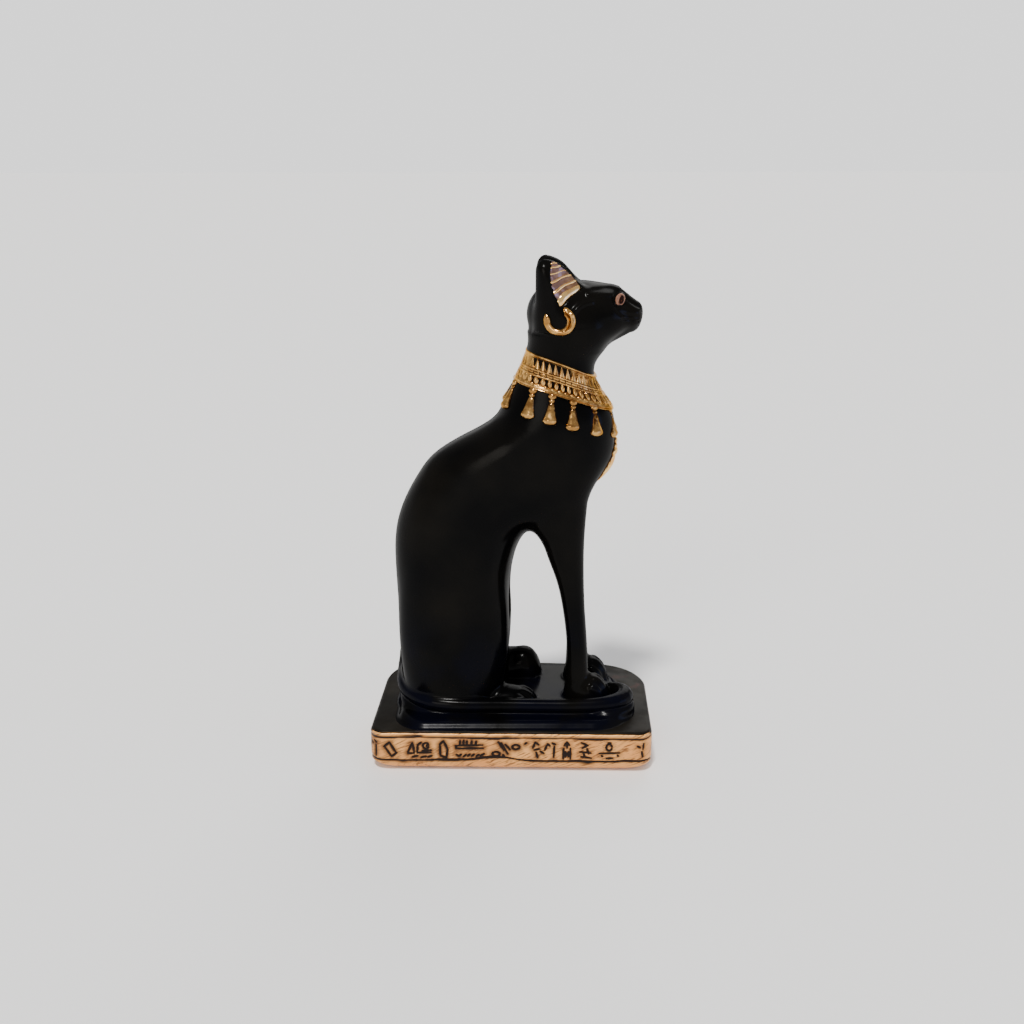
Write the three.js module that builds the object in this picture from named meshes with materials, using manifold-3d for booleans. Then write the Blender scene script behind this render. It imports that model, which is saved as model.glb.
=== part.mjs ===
// A seated cat of Bastet on its own low plinth, one painted casting. Millimetres, +Z up.
// The cat faces +X, its right side is at -Y, and the origin is the middle of the underside.
import * as THREE from 'three';
import { mergeVertices } from 'three/addons/utils/BufferGeometryUtils.js';
import Module from 'manifold-3d';

const wasm = await Module();
wasm.setup();

// Driving dimensions
const figureHeight = 150.5;
const plinthHeight = 13;
const plinthLength = 85;
const plinthBackDepth = 54;
const plinthFrontDepth = 50.8;
const plinthRightCornerRadius = 4.4;
const plinthLeftCornerRadius = 16;
const plinthLip = 1.2;
const plinthFootInset = 3.2;
const grooveDepth = 0.35;
const grooveWidth = 0.8;
const upperGrooveBelowTop = 2.2;
const lowerGrooveAboveFoot = 3.6;
const slabHeight = 3.5;
const slabEdgeRound = 0.9;
const stepHeight = 1.5;
const stepEdgeRound = 1.1;
const collarRaise = 1.1;
const tasselLength = 9.4;
const tasselBellRadius = 2.0;
const earringRadius = 3.95;
const earringThickness = 1.9;
const eyeDiameter = 3.6;
const earHollowDepth = 0.9;
const earRidgeThickness = 1.0;
const pectoralHeight = 12.6;
const pectoralWidth = 8.4;
const pectoralRaise = 1.1;

// The cat is a free form: its own measures are shares of its height above the plinth.
const catHeight = figureHeight - plinthHeight;
const earTop = 99.3;
const share = catHeight / earTop;
const sliver = 1e-3 * share;
const black = new THREE.Color(0x0b0b0d);

// Curves and small helpers

// A smooth line through a few points, each a height and a value, held level beyond its ends.
function profile(points) {
  const heights = points.map((p) => p[0] * share);
  const values = points.map((p) => p[1] * share);
  const last = heights.length - 1;
  const bend = new Array(last + 1).fill(0);
  const carry = new Array(last + 1).fill(0);
  for (let i = 1; i < last; i++) {
    const before = heights[i] - heights[i - 1];
    const after = heights[i + 1] - heights[i];
    const turn = (values[i + 1] - values[i]) / after - (values[i] - values[i - 1]) / before;
    const pivot = 2 * (before + after) - before * carry[i - 1];
    carry[i] = after / pivot;
    bend[i] = (6 * turn - before * bend[i - 1]) / pivot;
  }
  for (let i = last - 1; i > 0; i--) {
    bend[i] -= carry[i] * bend[i + 1];
  }
  return (height) => {
    const at = Math.min(Math.max(height, heights[0]), heights[last]);
    let i = 0;
    while (i < last - 1 && at > heights[i + 1]) {
      i++;
    }
    const span = heights[i + 1] - heights[i];
    const b = (at - heights[i]) / span;
    const a = 1 - b;
    const curve = ((a ** 3 - a) * bend[i] + (b ** 3 - b) * bend[i + 1]) * span * span / 6;
    return a * values[i] + b * values[i + 1] + curve;
  };
}

// The lower of two distances, with a soft blend of the given reach between them.
function blend(a, b, reach) {
  const near = Math.max(reach - Math.abs(a - b), 0);
  return Math.min(a, b) - near * near / (4 * reach);
}

// Distance to a round section with semi-axes a and b; a fullness of 2 is an ellipse.
function section(x, y, a, b, fullness) {
  const u = Math.abs(x) / a;
  const v = Math.abs(y) / b;
  const k = Math.max((u ** fullness + v ** fullness) ** (1 / fullness), 0.05);
  const slope = Math.hypot((u / k) ** (fullness - 1) / a, (v / k) ** (fullness - 1) / b);
  return (k - 1) / Math.max(slope, 0.7 / Math.max(a, b));
}

// Distance to an egg with its middle and its three semi-axes in shares.
function egg(p, middle, radii) {
  const u = (p.x - middle[0] * share) / (radii[0] * share);
  const v = (p.y - middle[1] * share) / (radii[1] * share);
  const w = (p.h - middle[2] * share) / (radii[2] * share);
  const k = Math.max(Math.hypot(u, v, w), 0.05);
  const slope = Math.hypot(u / radii[0], v / radii[1], w / radii[2]) / (k * share);
  return (k - 1) / slope;
}

// Distance to a tapered bar between two points, with the radius at each end, in shares.
function bar(p, from, to, fromRadius, toRadius) {
  const along = [to[0] - from[0], to[1] - from[1], to[2] - from[2]];
  const reach = [p.x / share - from[0], p.y / share - from[1], p.h / share - from[2]];
  const dot = along[0] * reach[0] + along[1] * reach[1] + along[2] * reach[2];
  const t = Math.min(Math.max(dot / (along[0] ** 2 + along[1] ** 2 + along[2] ** 2), 0), 1);
  const off = Math.hypot(reach[0] - along[0] * t, reach[1] - along[1] * t, reach[2] - along[2] * t);
  return (off - fromRadius - (toRadius - fromRadius) * t) * share;
}

// The cat's body, as distances; h is the height above the plinth top

// Trunk: the line of the back, the line of thighs, belly and chest, and the half width.
const backLine = profile([[-2, -25.1], [14, -25.1], [33, -25.9], [42, -25], [49.5, -21.9], [53.2, -19.8],
  [56.8, -17], [60.3, -12.2], [63.8, -6], [66, -3.2], [68.5, -1.7], [72, -0.5], [78, 2.3], [84, 3.8]]);
const frontLine = profile([[-2, -1.8], [14, -1.7], [22, -1.1], [30, -0.8], [36, 0.4], [39.5, 2.1], [42.5, 5.2],
  [46, 10.9], [50, 15.7], [54, 19.1], [58, 21], [61, 21.4], [65, 21.1], [69, 19.8], [72, 18], [75.5, 16.8], [80, 18]]);
const halfWidth = profile([[-2, 11.3], [12, 11.8], [26, 12], [40, 11.6], [52, 10.9], [61, 10], [68, 8.8],
  [73, 7.7], [77, 7.4], [82, 7.9]]);
const skull = { middle: [12.1, 0, 87.2], radii: [9, 8.9, 6.9] };
const trunkTop = skull.middle[2] - 4.2;
const trunkFullness = 2.35;

function trunk(p) {
  const back = backLine(p.h);
  const front = frontLine(p.h);
  const wall = section(p.x - (back + front) / 2, p.y, (front - back) / 2, halfWidth(p.h), trunkFullness);
  return Math.max(wall, p.h - trunkTop * share);
}

// The same form on both sides, rounded off where the two halves meet.
function bothSides(p) {
  return { x: p.x, y: Math.hypot(p.y, 0.5 * share), h: p.h };
}

// Thighs that swell beside the trunk, and the shoulders above the front legs.
const thigh = { middle: [-12.8, 6.2, 17], radii: [11.4, 6.7, 22] };
const shoulder = { middle: [8.4, 4.6, 60], radii: [9.6, 5.6, 12] };

// Front legs: two columns that grow out of the chest, with a thinner web between them.
const legFront = profile([[-2, 17], [12, 16.5], [20, 15.9], [30, 15.4], [40, 15.4], [45, 15.7], [50, 16.1],
  [56, 16.5]]);
const legRear = profile([[-2, 11.6], [10, 12.2], [16, 12.1], [22, 11.4], [27, 10.5], [31.5, 9.2], [35, 7.9],
  [38, 6.8], [41, 4.8], [45, 0]]);
const legMiddle = profile([[-2, 5], [12, 4.5], [24, 4.1], [36, 4.1], [56, 4.3]]);
const legHalfWidth = profile([[-2, 3.2], [12, 2.7], [24, 2.8], [33, 3.3], [42, 4.4], [56, 5.6]]);
const legTop = 57;
const webHold = 0.72;

function frontLegs(p) {
  const front = legFront(p.h);
  const rear = legRear(p.h);
  const middle = (front + rear) / 2;
  const half = (front - rear) / 2;
  const column = section(p.x - middle, Math.abs(p.y) - legMiddle(p.h), half, legHalfWidth(p.h), 2.3);
  const web = section(p.x - middle, p.y, half * webHold, legMiddle(p.h), 3);
  return Math.max(blend(column, web, 1.1 * share), p.h - legTop * share);
}

// Paws, a pair of each, given by the middle of the sole and the three radii.
const frontPaw = { middle: [16.7, 5, 2.4], radii: [5.4, 3.9, 5.8], toeReach: 3.8 };
const leftHindPaw = { middle: [-0.3, 7.2, 2.4], radii: [7.6, 4.3, 7.2], toeReach: 5.6 };
const rightHindPaw = { middle: [-0.9, 7.2, 2.2], radii: [6.8, 4.3, 5], toeReach: 5 };
const toeGrooves = [-0.5, 0, 0.5];

function paws(p) {
  const mirrored = bothSides(p);
  let all = Infinity;
  for (const paw of [frontPaw, p.y > 0 ? leftHindPaw : rightHindPaw]) {
    let form = egg(mirrored, paw.middle, paw.radii);
    for (const groove of toeGrooves) {
      const y = paw.middle[1] + groove * paw.radii[1];
      const from = [paw.middle[0] + paw.toeReach * 0.7, y, paw.middle[2] + paw.radii[2] * 1.05];
      const to = [paw.middle[0] + paw.radii[0] * 1.12, y, paw.middle[2]];
      form = -blend(-form, bar(mirrored, from, to, 0.45, 0.5), 0.5 * share);
    }
    all = Math.min(all, form);
  }
  return all;
}

// Head: skull, brow, bridge of the nose, muzzle with the jaw, and cheeks.
function head(p) {
  const mirrored = bothSides(p);
  let form = egg(p, skull.middle, skull.radii);
  form = blend(form, egg(p, [16.4, 0, 88.5], [7.2, 6.4, 5.2]), 2 * share);
  form = blend(form, bar(p, [20.9, 0, 90], [24.8, 0, 88.3], 2.9, 2), 1.6 * share);
  form = blend(form, bar(p, [17, 0, 85.2], [24.2, 0, 86.1], 4.8, 2.1), 1.6 * share);
  form = blend(form, bar(mirrored, [21.4, 2.1, 87], [24.2, 1.6, 87.2], 2.5, 2.2), 1 * share);
  form = blend(form, egg(mirrored, [13.6, 4.1, 84.6], [6.2, 5.2, 4.8]), 2 * share);
  form = blend(form, egg(mirrored, [18.4, 3.1, 86.8], [4.6, 3.6, 3.6]), 1.6 * share);
  return form;
}

// Ears: tall cones of oval section, upright at the back, with a flat that faces out and forwards.
const earBack = profile([[80, 5.2], [90, 4.7], [95, 4.7], [98, 4.9], [99.3, 5.3]]);
const earFront = profile([[80, 14.8], [90, 15.2], [94.4, 14], [97, 11.5], [98.6, 9], [99.3, 7.8]]);
const earMiddle = profile([[80, 4.9], [90, 5.2], [99.3, 6]]);
const earHalfWidth = profile([[80, 3.8], [88, 3.9], [94, 3.3], [98, 2], [99.3, 1]]);
const earFlatPoint = new THREE.Vector3(14.15, 4.9, 93.5);
const earFlatNormal = new THREE.Vector3(0.5, 0.81, 0.3).normalize();
const earFlatOffset = earFlatPoint.dot(earFlatNormal);

function ears(p) {
  const back = earBack(p.h);
  const front = earFront(p.h);
  const outer = Math.abs(p.y);
  const wall = section(p.x - (back + front) / 2, outer - earMiddle(p.h), (front - back) / 2, earHalfWidth(p.h), 2);
  const flat = earFlatNormal.x * p.x + earFlatNormal.y * outer + earFlatNormal.z * p.h - earFlatOffset * share;
  const form = -blend(-wall, -flat, 0.7 * share);
  return Math.max(form, p.h - earTop * share, 80 * share - p.h);
}

function cat(x, y, z) {
  const p = { x, y, h: z - plinthHeight };
  const mirrored = bothSides(p);
  let form = blend(trunk(p), egg(mirrored, thigh.middle, thigh.radii), 3 * share);
  form = blend(form, egg(mirrored, shoulder.middle, shoulder.radii), 3 * share);
  form = blend(form, frontLegs(p), 3 * share);
  form = blend(form, paws(p), 1 * share);
  form = blend(form, head(p), 3 * share);
  form = blend(form, ears(p), 1.3 * share);
  return Math.max(form, -p.h - slabHeight / 2);
}

// Turning the distances into a closed mesh

// Grid lines that are closer together where the form is finer.
function gridLines(start, zones) {
  const lines = [start * share];
  for (const [end, step] of zones) {
    const from = lines.at(-1);
    const count = Math.max(1, Math.round((end * share - from) / (step * share)));
    for (let i = 1; i <= count; i++) {
      lines.push(from + (end * share - from) * i / count);
    }
  }
  return lines;
}

function gradient(field, x, y, z) {
  const e = 0.02 * share;
  return new THREE.Vector3(field(x + e, y, z) - field(x - e, y, z), field(x, y + e, z) - field(x, y - e, z),
    field(x, y, z + e) - field(x, y, z - e)).divideScalar(2 * e);
}

// Moves a point along the slope of the field onto the surface.
function seat(field, point, limit) {
  for (let round = 0; round < 3; round++) {
    const slope = gradient(field, point.x, point.y, point.z);
    const step = field(point.x, point.y, point.z) / Math.max(slope.lengthSq(), 0.1);
    point.addScaledVector(slope, -Math.max(Math.min(step, limit), -limit));
  }
  return point;
}

// The corners of a grid cell that lie on one side, grouped by the cell edges that join them.
function cornerGroups(inside, wanted) {
  const groups = [];
  const seen = new Set();
  for (let corner = 0; corner < 8; corner++) {
    if (inside[corner] !== wanted || seen.has(corner)) {
      continue;
    }
    const group = [corner];
    seen.add(corner);
    for (const member of group) {
      for (const bit of [1, 2, 4]) {
        const next = member ^ bit;
        if (inside[next] === wanted && !seen.has(next)) {
          seen.add(next);
          group.push(next);
        }
      }
    }
    groups.push(group);
  }
  return groups;
}

// Where two sheets of the surface pass through one cell, the slighter one is closed up.
function settle(values, at, nx, ny, nz) {
  let changed = true;
  while (changed) {
    changed = false;
    for (let k = 0; k < nz - 1; k++) {
      for (let j = 0; j < ny - 1; j++) {
        for (let i = 0; i < nx - 1; i++) {
          const corners = [0, 1, 2, 3, 4, 5, 6, 7].map((c) => at(i + (c & 1), j + (c >> 1 & 1), k + (c >> 2)));
          const inside = corners.map((c) => values[c] < 0);
          for (const wanted of [true, false]) {
            const groups = cornerGroups(inside, wanted);
            if (groups.length > 1) {
              const weight = (group) => group.reduce((sum, c) => sum + Math.abs(values[corners[c]]), 0);
              groups.sort((a, b) => weight(a) - weight(b));
              for (const c of groups[0]) {
                values[corners[c]] = wanted ? sliver : -sliver;
                inside[c] = !wanted;
              }
              changed = true;
            }
          }
        }
      }
    }
  }
}

// One vertex in each cell that the surface crosses, joined across the crossed grid edges.
function skin(field, xs, ys, zs) {
  const nx = xs.length;
  const ny = ys.length;
  const nz = zs.length;
  const at = (i, j, k) => (k * ny + j) * nx + i;
  const values = new Float64Array(nx * ny * nz);
  for (let k = 0; k < nz; k++) {
    for (let j = 0; j < ny; j++) {
      for (let i = 0; i < nx; i++) {
        const rim = i % (nx - 1) === 0 || j % (ny - 1) === 0 || k % (nz - 1) === 0;
        const distance = field(xs[i], ys[j], zs[k]) || sliver;
        values[at(i, j, k)] = rim ? Math.max(distance, sliver) : distance;
      }
    }
  }
  settle(values, at, nx, ny, nz);
  const cell = new Int32Array(nx * ny * nz).fill(-1);
  const points = [];
  for (let k = 0; k < nz - 1; k++) {
    for (let j = 0; j < ny - 1; j++) {
      for (let i = 0; i < nx - 1; i++) {
        const middle = new THREE.Vector3();
        let crossings = 0;
        for (const [axis, u, v] of [[0, 1, 2], [1, 0, 2], [2, 0, 1]]) {
          for (let side = 0; side < 4; side++) {
            const from = [i, j, k];
            from[u] += side & 1;
            from[v] += side >> 1;
            const to = [...from];
            to[axis] += 1;
            const a = values[at(...from)];
            const b = values[at(...to)];
            if (a < 0 !== b < 0) {
              const t = a / (a - b);
              const start = new THREE.Vector3(xs[from[0]], ys[from[1]], zs[from[2]]);
              middle.add(start.lerp(new THREE.Vector3(xs[to[0]], ys[to[1]], zs[to[2]]), t));
              crossings++;
            }
          }
        }
        if (crossings) {
          cell[at(i, j, k)] = points.length;
          const limit = Math.min(xs[i + 1] - xs[i], ys[j + 1] - ys[j], zs[k + 1] - zs[k]) / 5;
          points.push(seat(field, middle.divideScalar(crossings), limit));
        }
      }
    }
  }
  const triangles = [];
  for (let k = 0; k < nz - 1; k++) {
    for (let j = 0; j < ny - 1; j++) {
      for (let i = 0; i < nx - 1; i++) {
        const here = values[at(i, j, k)] < 0;
        const rings = [
          [values[at(i + 1, j, k)], [[0, -1, -1], [0, 0, -1], [0, 0, 0], [0, -1, 0]]],
          [values[at(i, j + 1, k)], [[-1, 0, -1], [-1, 0, 0], [0, 0, 0], [0, 0, -1]]],
          [values[at(i, j, k + 1)], [[-1, -1, 0], [0, -1, 0], [0, 0, 0], [-1, 0, 0]]],
        ];
        for (const [next, around] of rings) {
          if (here === next < 0) {
            continue;
          }
          const q = around.map(([a, b, c]) => cell[at(i + a, j + b, k + c)]);
          if (!here) {
            q.reverse();
          }
          const shortFirst = points[q[0]].distanceTo(points[q[2]]) <= points[q[1]].distanceTo(points[q[3]]);
          if (shortFirst) {
            triangles.push(q[0], q[1], q[2], q[0], q[2], q[3]);
          } else {
            triangles.push(q[0], q[1], q[3], q[1], q[2], q[3]);
          }
        }
      }
    }
  }
  const geometry = new THREE.BufferGeometry();
  geometry.setAttribute('position', new THREE.Float32BufferAttribute(points.flatMap((p) => [p.x, p.y, p.z]), 3));
  geometry.setIndex(triangles);
  return geometry;
}

// Lofts

// A closed body through rings of equally many points, each end closed from its middle.
function loft(rings) {
  const count = rings[0].length;
  const points = rings.flat();
  const triangles = [];
  for (let r = 0; r + 1 < rings.length; r++) {
    for (let i = 0; i < count; i++) {
      const a = r * count + i;
      const b = r * count + (i + 1) % count;
      triangles.push(a, b, b + count, a, b + count, a + count);
    }
  }
  for (const [ring, first] of [[rings[0], 0], [rings.at(-1), (rings.length - 1) * count]]) {
    const middle = points.length;
    points.push(ring.reduce((sum, p) => sum.add(p), new THREE.Vector3()).divideScalar(count));
    for (let i = 0; i < count; i++) {
      const edge = [first + i, first + (i + 1) % count];
      triangles.push(middle, ...(first ? edge : edge.reverse()));
    }
  }
  const geometry = new THREE.BufferGeometry();
  geometry.setAttribute('position', new THREE.Float32BufferAttribute(points.flatMap((p) => [p.x, p.y, p.z]), 3));
  geometry.setIndex(triangles);
  return geometry;
}

// A round bar along a curve, with a radius that changes along it.
function roundBar(curve, steps, sides, radiusAt) {
  const frames = curve.computeFrenetFrames(steps, false);
  const rings = [];
  for (let s = 0; s <= steps; s++) {
    const middle = curve.getPointAt(s / steps);
    const radius = radiusAt(s / steps);
    const ring = [];
    for (let i = 0; i < sides; i++) {
      const angle = i / sides * 2 * Math.PI;
      const out = frames.normals[s].clone().multiplyScalar(Math.cos(angle));
      out.addScaledVector(frames.binormals[s], Math.sin(angle));
      ring.push(middle.clone().addScaledVector(out, radius));
    }
    rings.push(ring);
  }
  return loft(rings);
}

// The corners of a four-sided plan moved in by an inset and rounded with arcs.
function roundedPlan(corners, radii, inset, arcSteps) {
  const plan = [];
  const size = corners.length;
  const moved = corners.map((corner, i) => {
    const before = corners[(i + size - 1) % size];
    const after = corners[(i + 1) % size];
    const inward = (a, b) => new THREE.Vector2(a.y - b.y, b.x - a.x).normalize();
    const n1 = inward(before, corner);
    const n2 = inward(corner, after);
    return corner.clone().addScaledVector(n1.add(n2).divideScalar(1 + n1.clone().sub(n2).dot(n2)), inset);
  });
  moved.forEach((corner, i) => {
    const toBefore = moved[(i + size - 1) % size].clone().sub(corner).normalize();
    const toAfter = moved[(i + 1) % size].clone().sub(corner).normalize();
    const half = Math.acos(toBefore.dot(toAfter)) / 2;
    const radius = Math.max(radii[i] - inset, 0.4);
    const middle = corner.clone();
    middle.addScaledVector(toBefore.clone().add(toAfter).normalize(), radius / Math.sin(half));
    const start = toBefore.clone().multiplyScalar(radius / Math.tan(half)).add(corner).sub(middle);
    const turn = Math.PI - 2 * half;
    for (let s = 0; s <= arcSteps[i]; s++) {
      plan.push(start.clone().rotateAround(new THREE.Vector2(), turn * s / arcSteps[i]).add(middle));
    }
  });
  return plan;
}

function solid(geometry) {
  const bare = geometry.clone();
  bare.deleteAttribute('normal');
  bare.deleteAttribute('uv');
  const merged = mergeVertices(bare, 1e-5);
  return new wasm.Manifold(new wasm.Mesh({
    numProp: 3,
    vertProperties: new Float32Array(merged.attributes.position.array),
    triVerts: new Uint32Array(merged.index.array),
  }));
}

// Plinth: a low block with a rounded lip, two incised lines and a foot that curves in.
function plinth() {
  const corners = [
    new THREE.Vector2(-plinthLength / 2, -plinthBackDepth / 2),
    new THREE.Vector2(plinthLength / 2, -plinthFrontDepth / 2),
    new THREE.Vector2(plinthLength / 2, plinthFrontDepth / 2),
    new THREE.Vector2(-plinthLength / 2, plinthBackDepth / 2),
  ];
  const radii = [plinthRightCornerRadius, plinthRightCornerRadius, plinthLeftCornerRadius, plinthLeftCornerRadius];
  const upper = plinthHeight - upperGrooveBelowTop;
  const lower = lowerGrooveAboveFoot;
  const levels = [
    [0, plinthFootInset],
    [lower * 0.1, plinthFootInset * 0.5],
    [lower * 0.4, plinthFootInset * 0.17],
    [lower - grooveWidth / 2, 0],
    [lower, grooveDepth],
    [lower + grooveWidth / 2, 0],
    [upper - grooveWidth / 2, 0],
    [upper, grooveDepth],
    [upper + grooveWidth / 2, 0],
    [plinthHeight - plinthLip * 0.3, plinthLip * 0.3],
    [plinthHeight, plinthLip],
  ];
  const rings = levels.map(([z, inset]) => (
    roundedPlan(corners, radii, inset, [3, 3, 6, 6]).map((p) => new THREE.Vector3(p.x, p.y, z))
  ));
  return solid(loft(rings));
}

// Slab under the cat, which carries the tail around the near front paw, on a lower step.
const slabCorners = [[-27, -13.6, 9], [22.9, -12.9, 7], [22.9, 12, 5], [-27, 12.6, 11]];
const slabBay = { middle: [21.1, -6.9], radius: 6.2 };
const stepCorners = [[-25.4, -19, 6.5], [27, -16.4, 8], [25.4, 13.6, 8], [-26.4, 14, 12]];

// A layer of the base: its four sides go straight up and end in a round edge.
function layer(outline, height, edgeRound) {
  const corners = outline.map(([x, y]) => new THREE.Vector2(x * share, y * share));
  const radii = outline.map(([, , radius]) => radius * share);
  const levels = [
    [-plinthLip, 0],
    [height - edgeRound, 0],
    [height - edgeRound * 0.3, edgeRound * 0.3],
    [height, edgeRound],
  ];
  return solid(loft(levels.map(([rise, inset]) => (
    roundedPlan(corners, radii, inset, [4, 4, 3, 4]).map((p) => new THREE.Vector3(p.x, p.y, plinthHeight + rise))
  ))));
}

function slab() {
  const levels = [[-plinthLip, 0], [slabHeight - slabEdgeRound, 0], [slabHeight, slabEdgeRound]];
  const bay = solid(loft(levels.map(([rise, inset]) => {
    const ring = new THREE.EllipseCurve(0, 0, slabBay.radius * share - inset, slabBay.radius * share - inset);
    const [x, y] = slabBay.middle;
    return ring.getPoints(18).slice(1).map((p) => (
      new THREE.Vector3(p.x + x * share, p.y + y * share, plinthHeight + rise)
    ));
  })));
  return layer(slabCorners, slabHeight, slabEdgeRound).add(bay).add(layer(stepCorners, stepHeight, stepEdgeRound));
}

// A point of the cat's own measures: shares of its height, above the plinth top.
function spot(x, y, h) {
  return new THREE.Vector3(x * share, y * share, h * share + plinthHeight);
}

// Tail: out of the back, along the right side on the slab's edge and round the right front paw.
// Each stop is a place and the tail's radius there.
const tailRoute = [[-23.6, 6, 5.5, 1.3], [-25.9, 3.4, 4.9, 1.4], [-26, -0.8, 4.4, 1.45], [-24.6, -5.5, 3.9, 1.6],
  [-21.8, -8.9, 3.6, 1.75], [-19.2, -10.9, 3.45, 1.75], [-14, -12.3, 3.25, 1.6], [-5.4, -12.2, 3.1, 1.25],
  [6.2, -11.9, 3.05, 1.1], [19.4, -11.2, 3.05, 1.3], [24, -9.6, 3.05, 1.4], [25.5, -6.6, 3.05, 1.4],
  [24.4, -3.6, 3, 1.2], [22.3, -2.6, 2.9, 1]];
const tailEndShare = 0.6;
const tailSteps = 24;
const tailSides = 6;

function tail() {
  const route = new THREE.CatmullRomCurve3(tailRoute.map(([x, y, h]) => spot(x, y, h)), false, 'centripetal');
  const reaches = tailRoute.map(([x, y], i) => (i ? Math.hypot(x - tailRoute[i - 1][0], y - tailRoute[i - 1][1]) : 0));
  const length = reaches.reduce((sum, reach) => sum + reach, 0);
  let walked = 0;
  const thickness = profile(tailRoute.map(([, , , radius], i) => {
    walked += reaches[i];
    return [walked / length, radius];
  }));
  return solid(roundBar(route, tailSteps, tailSides, (t) => (t === 1 ? tailEndShare : 1) * thickness(t * share)));
}

// Where a ray from inside the cat comes out through its surface.
function surfaceAlong(origin, direction) {
  let inner = 0;
  let outer = 0.5 * share;
  const value = (t) => cat(origin.x + direction.x * t, origin.y + direction.y * t, origin.z + direction.z * t);
  while (value(outer) < 0) {
    inner = outer;
    outer += 0.5 * share;
  }
  for (let round = 0; round < 20; round++) {
    const middle = (inner + outer) / 2;
    if (value(middle) < 0) {
      inner = middle;
    } else {
      outer = middle;
    }
  }
  return origin.clone().addScaledVector(direction, outer);
}

function outward(point) {
  return gradient(cat, point.x, point.y, point.z).normalize();
}

// Collar: a band between two tilted rims that sit a little higher on the sides of the neck.
const collarTop = { back: [3.4, 80], front: [17, 74.9], sideLift: 0.8 };
const collarFoot = { back: [0.6, 73.3], front: [20.6, 67], sideLift: 1.3 };

// A place on the collar: fall runs from 0 at the top rim to 1 at the lower one, turn from the front.
function collarPoint(turn, fall, raise) {
  const mix = (a, b) => a + (b - a) * fall;
  const back = [mix(collarTop.back[0], collarFoot.back[0]), mix(collarTop.back[1], collarFoot.back[1])];
  const front = [mix(collarTop.front[0], collarFoot.front[0]), mix(collarTop.front[1], collarFoot.front[1])];
  const lift = mix(collarTop.sideLift, collarFoot.sideLift) * Math.sin(turn) ** 2;
  const middle = spot((back[0] + front[0]) / 2, 0, (back[1] + front[1]) / 2 + lift);
  const forward = new THREE.Vector3(front[0] - back[0], 0, front[1] - back[1]).normalize();
  const direction = forward.multiplyScalar(Math.cos(turn)).add(new THREE.Vector3(0, Math.sin(turn), 0));
  const place = surfaceAlong(middle, direction.normalize());
  return place.addScaledVector(direction, raise);
}

const collarRows = [[-0.02, -0.5], [0, 0.9], [0.1, 0.9], [0.16, 0.5], [0.44, 0.5], [0.5, 0.75], [0.56, 0.5],
  [0.84, 0.55], [0.9, 1], [0.98, 1], [1.01, -0.5]];
const collarSides = 28;

function collar() {
  return solid(loft(collarRows.map(([fall, raise]) => {
    const ring = [];
    for (let i = 0; i < collarSides; i++) {
      ring.push(collarPoint(-2 * Math.PI * i / collarSides, fall, raise * collarRaise));
    }
    return ring;
  })));
}

// Turns a body made along +Y, with +Z as its face, so that it lies on the cat.
function placeOn(geometry, place, along, face) {
  const side = new THREE.Vector3().crossVectors(along, face).normalize();
  const frame = new THREE.Matrix4().makeBasis(side, along, new THREE.Vector3().crossVectors(side, along));
  return geometry.applyMatrix4(frame.setPosition(place));
}

// Tassels: small bells that hang from the lower rim all round.
const tasselCount = 12;
const tasselOutline = [[0, 0], [0.4, 0.04], [0.25, 0.18], [0.95, 0.84], [0.85, 0.97], [0, 1]];
const tasselSides = 6;
const tasselFlatness = 0.6;
const tasselTopFall = 0.95;
const tasselAimFall = 1.25;

function tassels() {
  const all = [];
  for (let i = 0; i < tasselCount; i++) {
    const turn = 2 * Math.PI * (i + 0.5) / tasselCount;
    const top = collarPoint(turn, tasselTopFall, 0);
    const end = seat(cat, collarPoint(turn, tasselAimFall, 0), tasselLength);
    const along = end.sub(top).normalize().negate();
    const foot = seat(cat, top.clone().addScaledVector(along, -tasselLength), tasselLength);
    along.copy(top).sub(foot).normalize();
    const outline = tasselOutline.map(([r, fall]) => (
      new THREE.Vector2(r * tasselBellRadius, (1 - fall) * tasselLength)
    ));
    const bell = new THREE.LatheGeometry(outline.reverse(), tasselSides);
    bell.scale(1, 1, tasselFlatness);
    all.push(solid(placeOn(bell, foot, along, outward(top.clone().lerp(foot, 0.5)))));
  }
  return all;
}

// The spot on the cat's side, left or right, at a given place in side view.
function onSide(x, h, side) {
  return surfaceAlong(spot(x, side * 4, h), new THREE.Vector3(0, side, 0));
}

// Earrings: open rings in relief below the ears, thicker towards the face.
const earringPlace = [9.9, 86.7];
const earringStart = THREE.MathUtils.degToRad(74);
const earringSpan = THREE.MathUtils.degToRad(282);
const earringFrontSwell = 1.2;
const earringDrop = 0.9;
const earringSteps = 13;
const earringSides = 6;

function earring(side) {
  const points = [];
  for (let i = 0; i <= earringSteps; i++) {
    const angle = earringStart - earringSpan * i / earringSteps;
    const x = earringPlace[0] + Math.cos(angle) * earringRadius / share;
    points.push(onSide(x, earringPlace[1] + Math.sin(angle) * earringRadius * earringDrop / share, side));
  }
  const radiusAt = (t) => earringThickness / 2 * THREE.MathUtils.lerp(earringFrontSwell, 1, Math.min(1, t * 2));
  return solid(roundBar(new THREE.CatmullRomCurve3(points), earringSteps, earringSides, radiusAt));
}

// Ears: a hollow in each flat, crossed by curved ridges.
const hollowTip = [7.9, 98.4];
const hollowFront = [13.7, 93.6];
const hollowFoot = [10.1, 89.9];
const hollowBackBulge = [6.9, 94];
const hollowFrontBulge = [11.4, 96.2];
const hollowFootBulge = [11.6, 92];
const ridgeCount = 6;

// A point on the flat of an ear, given in side view; depth is measured into the ear.
function onFlat([x, h], side, depth) {
  const y = (earFlatOffset - earFlatNormal.x * x - earFlatNormal.z * h) / earFlatNormal.y;
  const normal = new THREE.Vector3(earFlatNormal.x, side * earFlatNormal.y, earFlatNormal.z);
  return spot(x, side * y, h).addScaledVector(normal, -depth);
}

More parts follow.
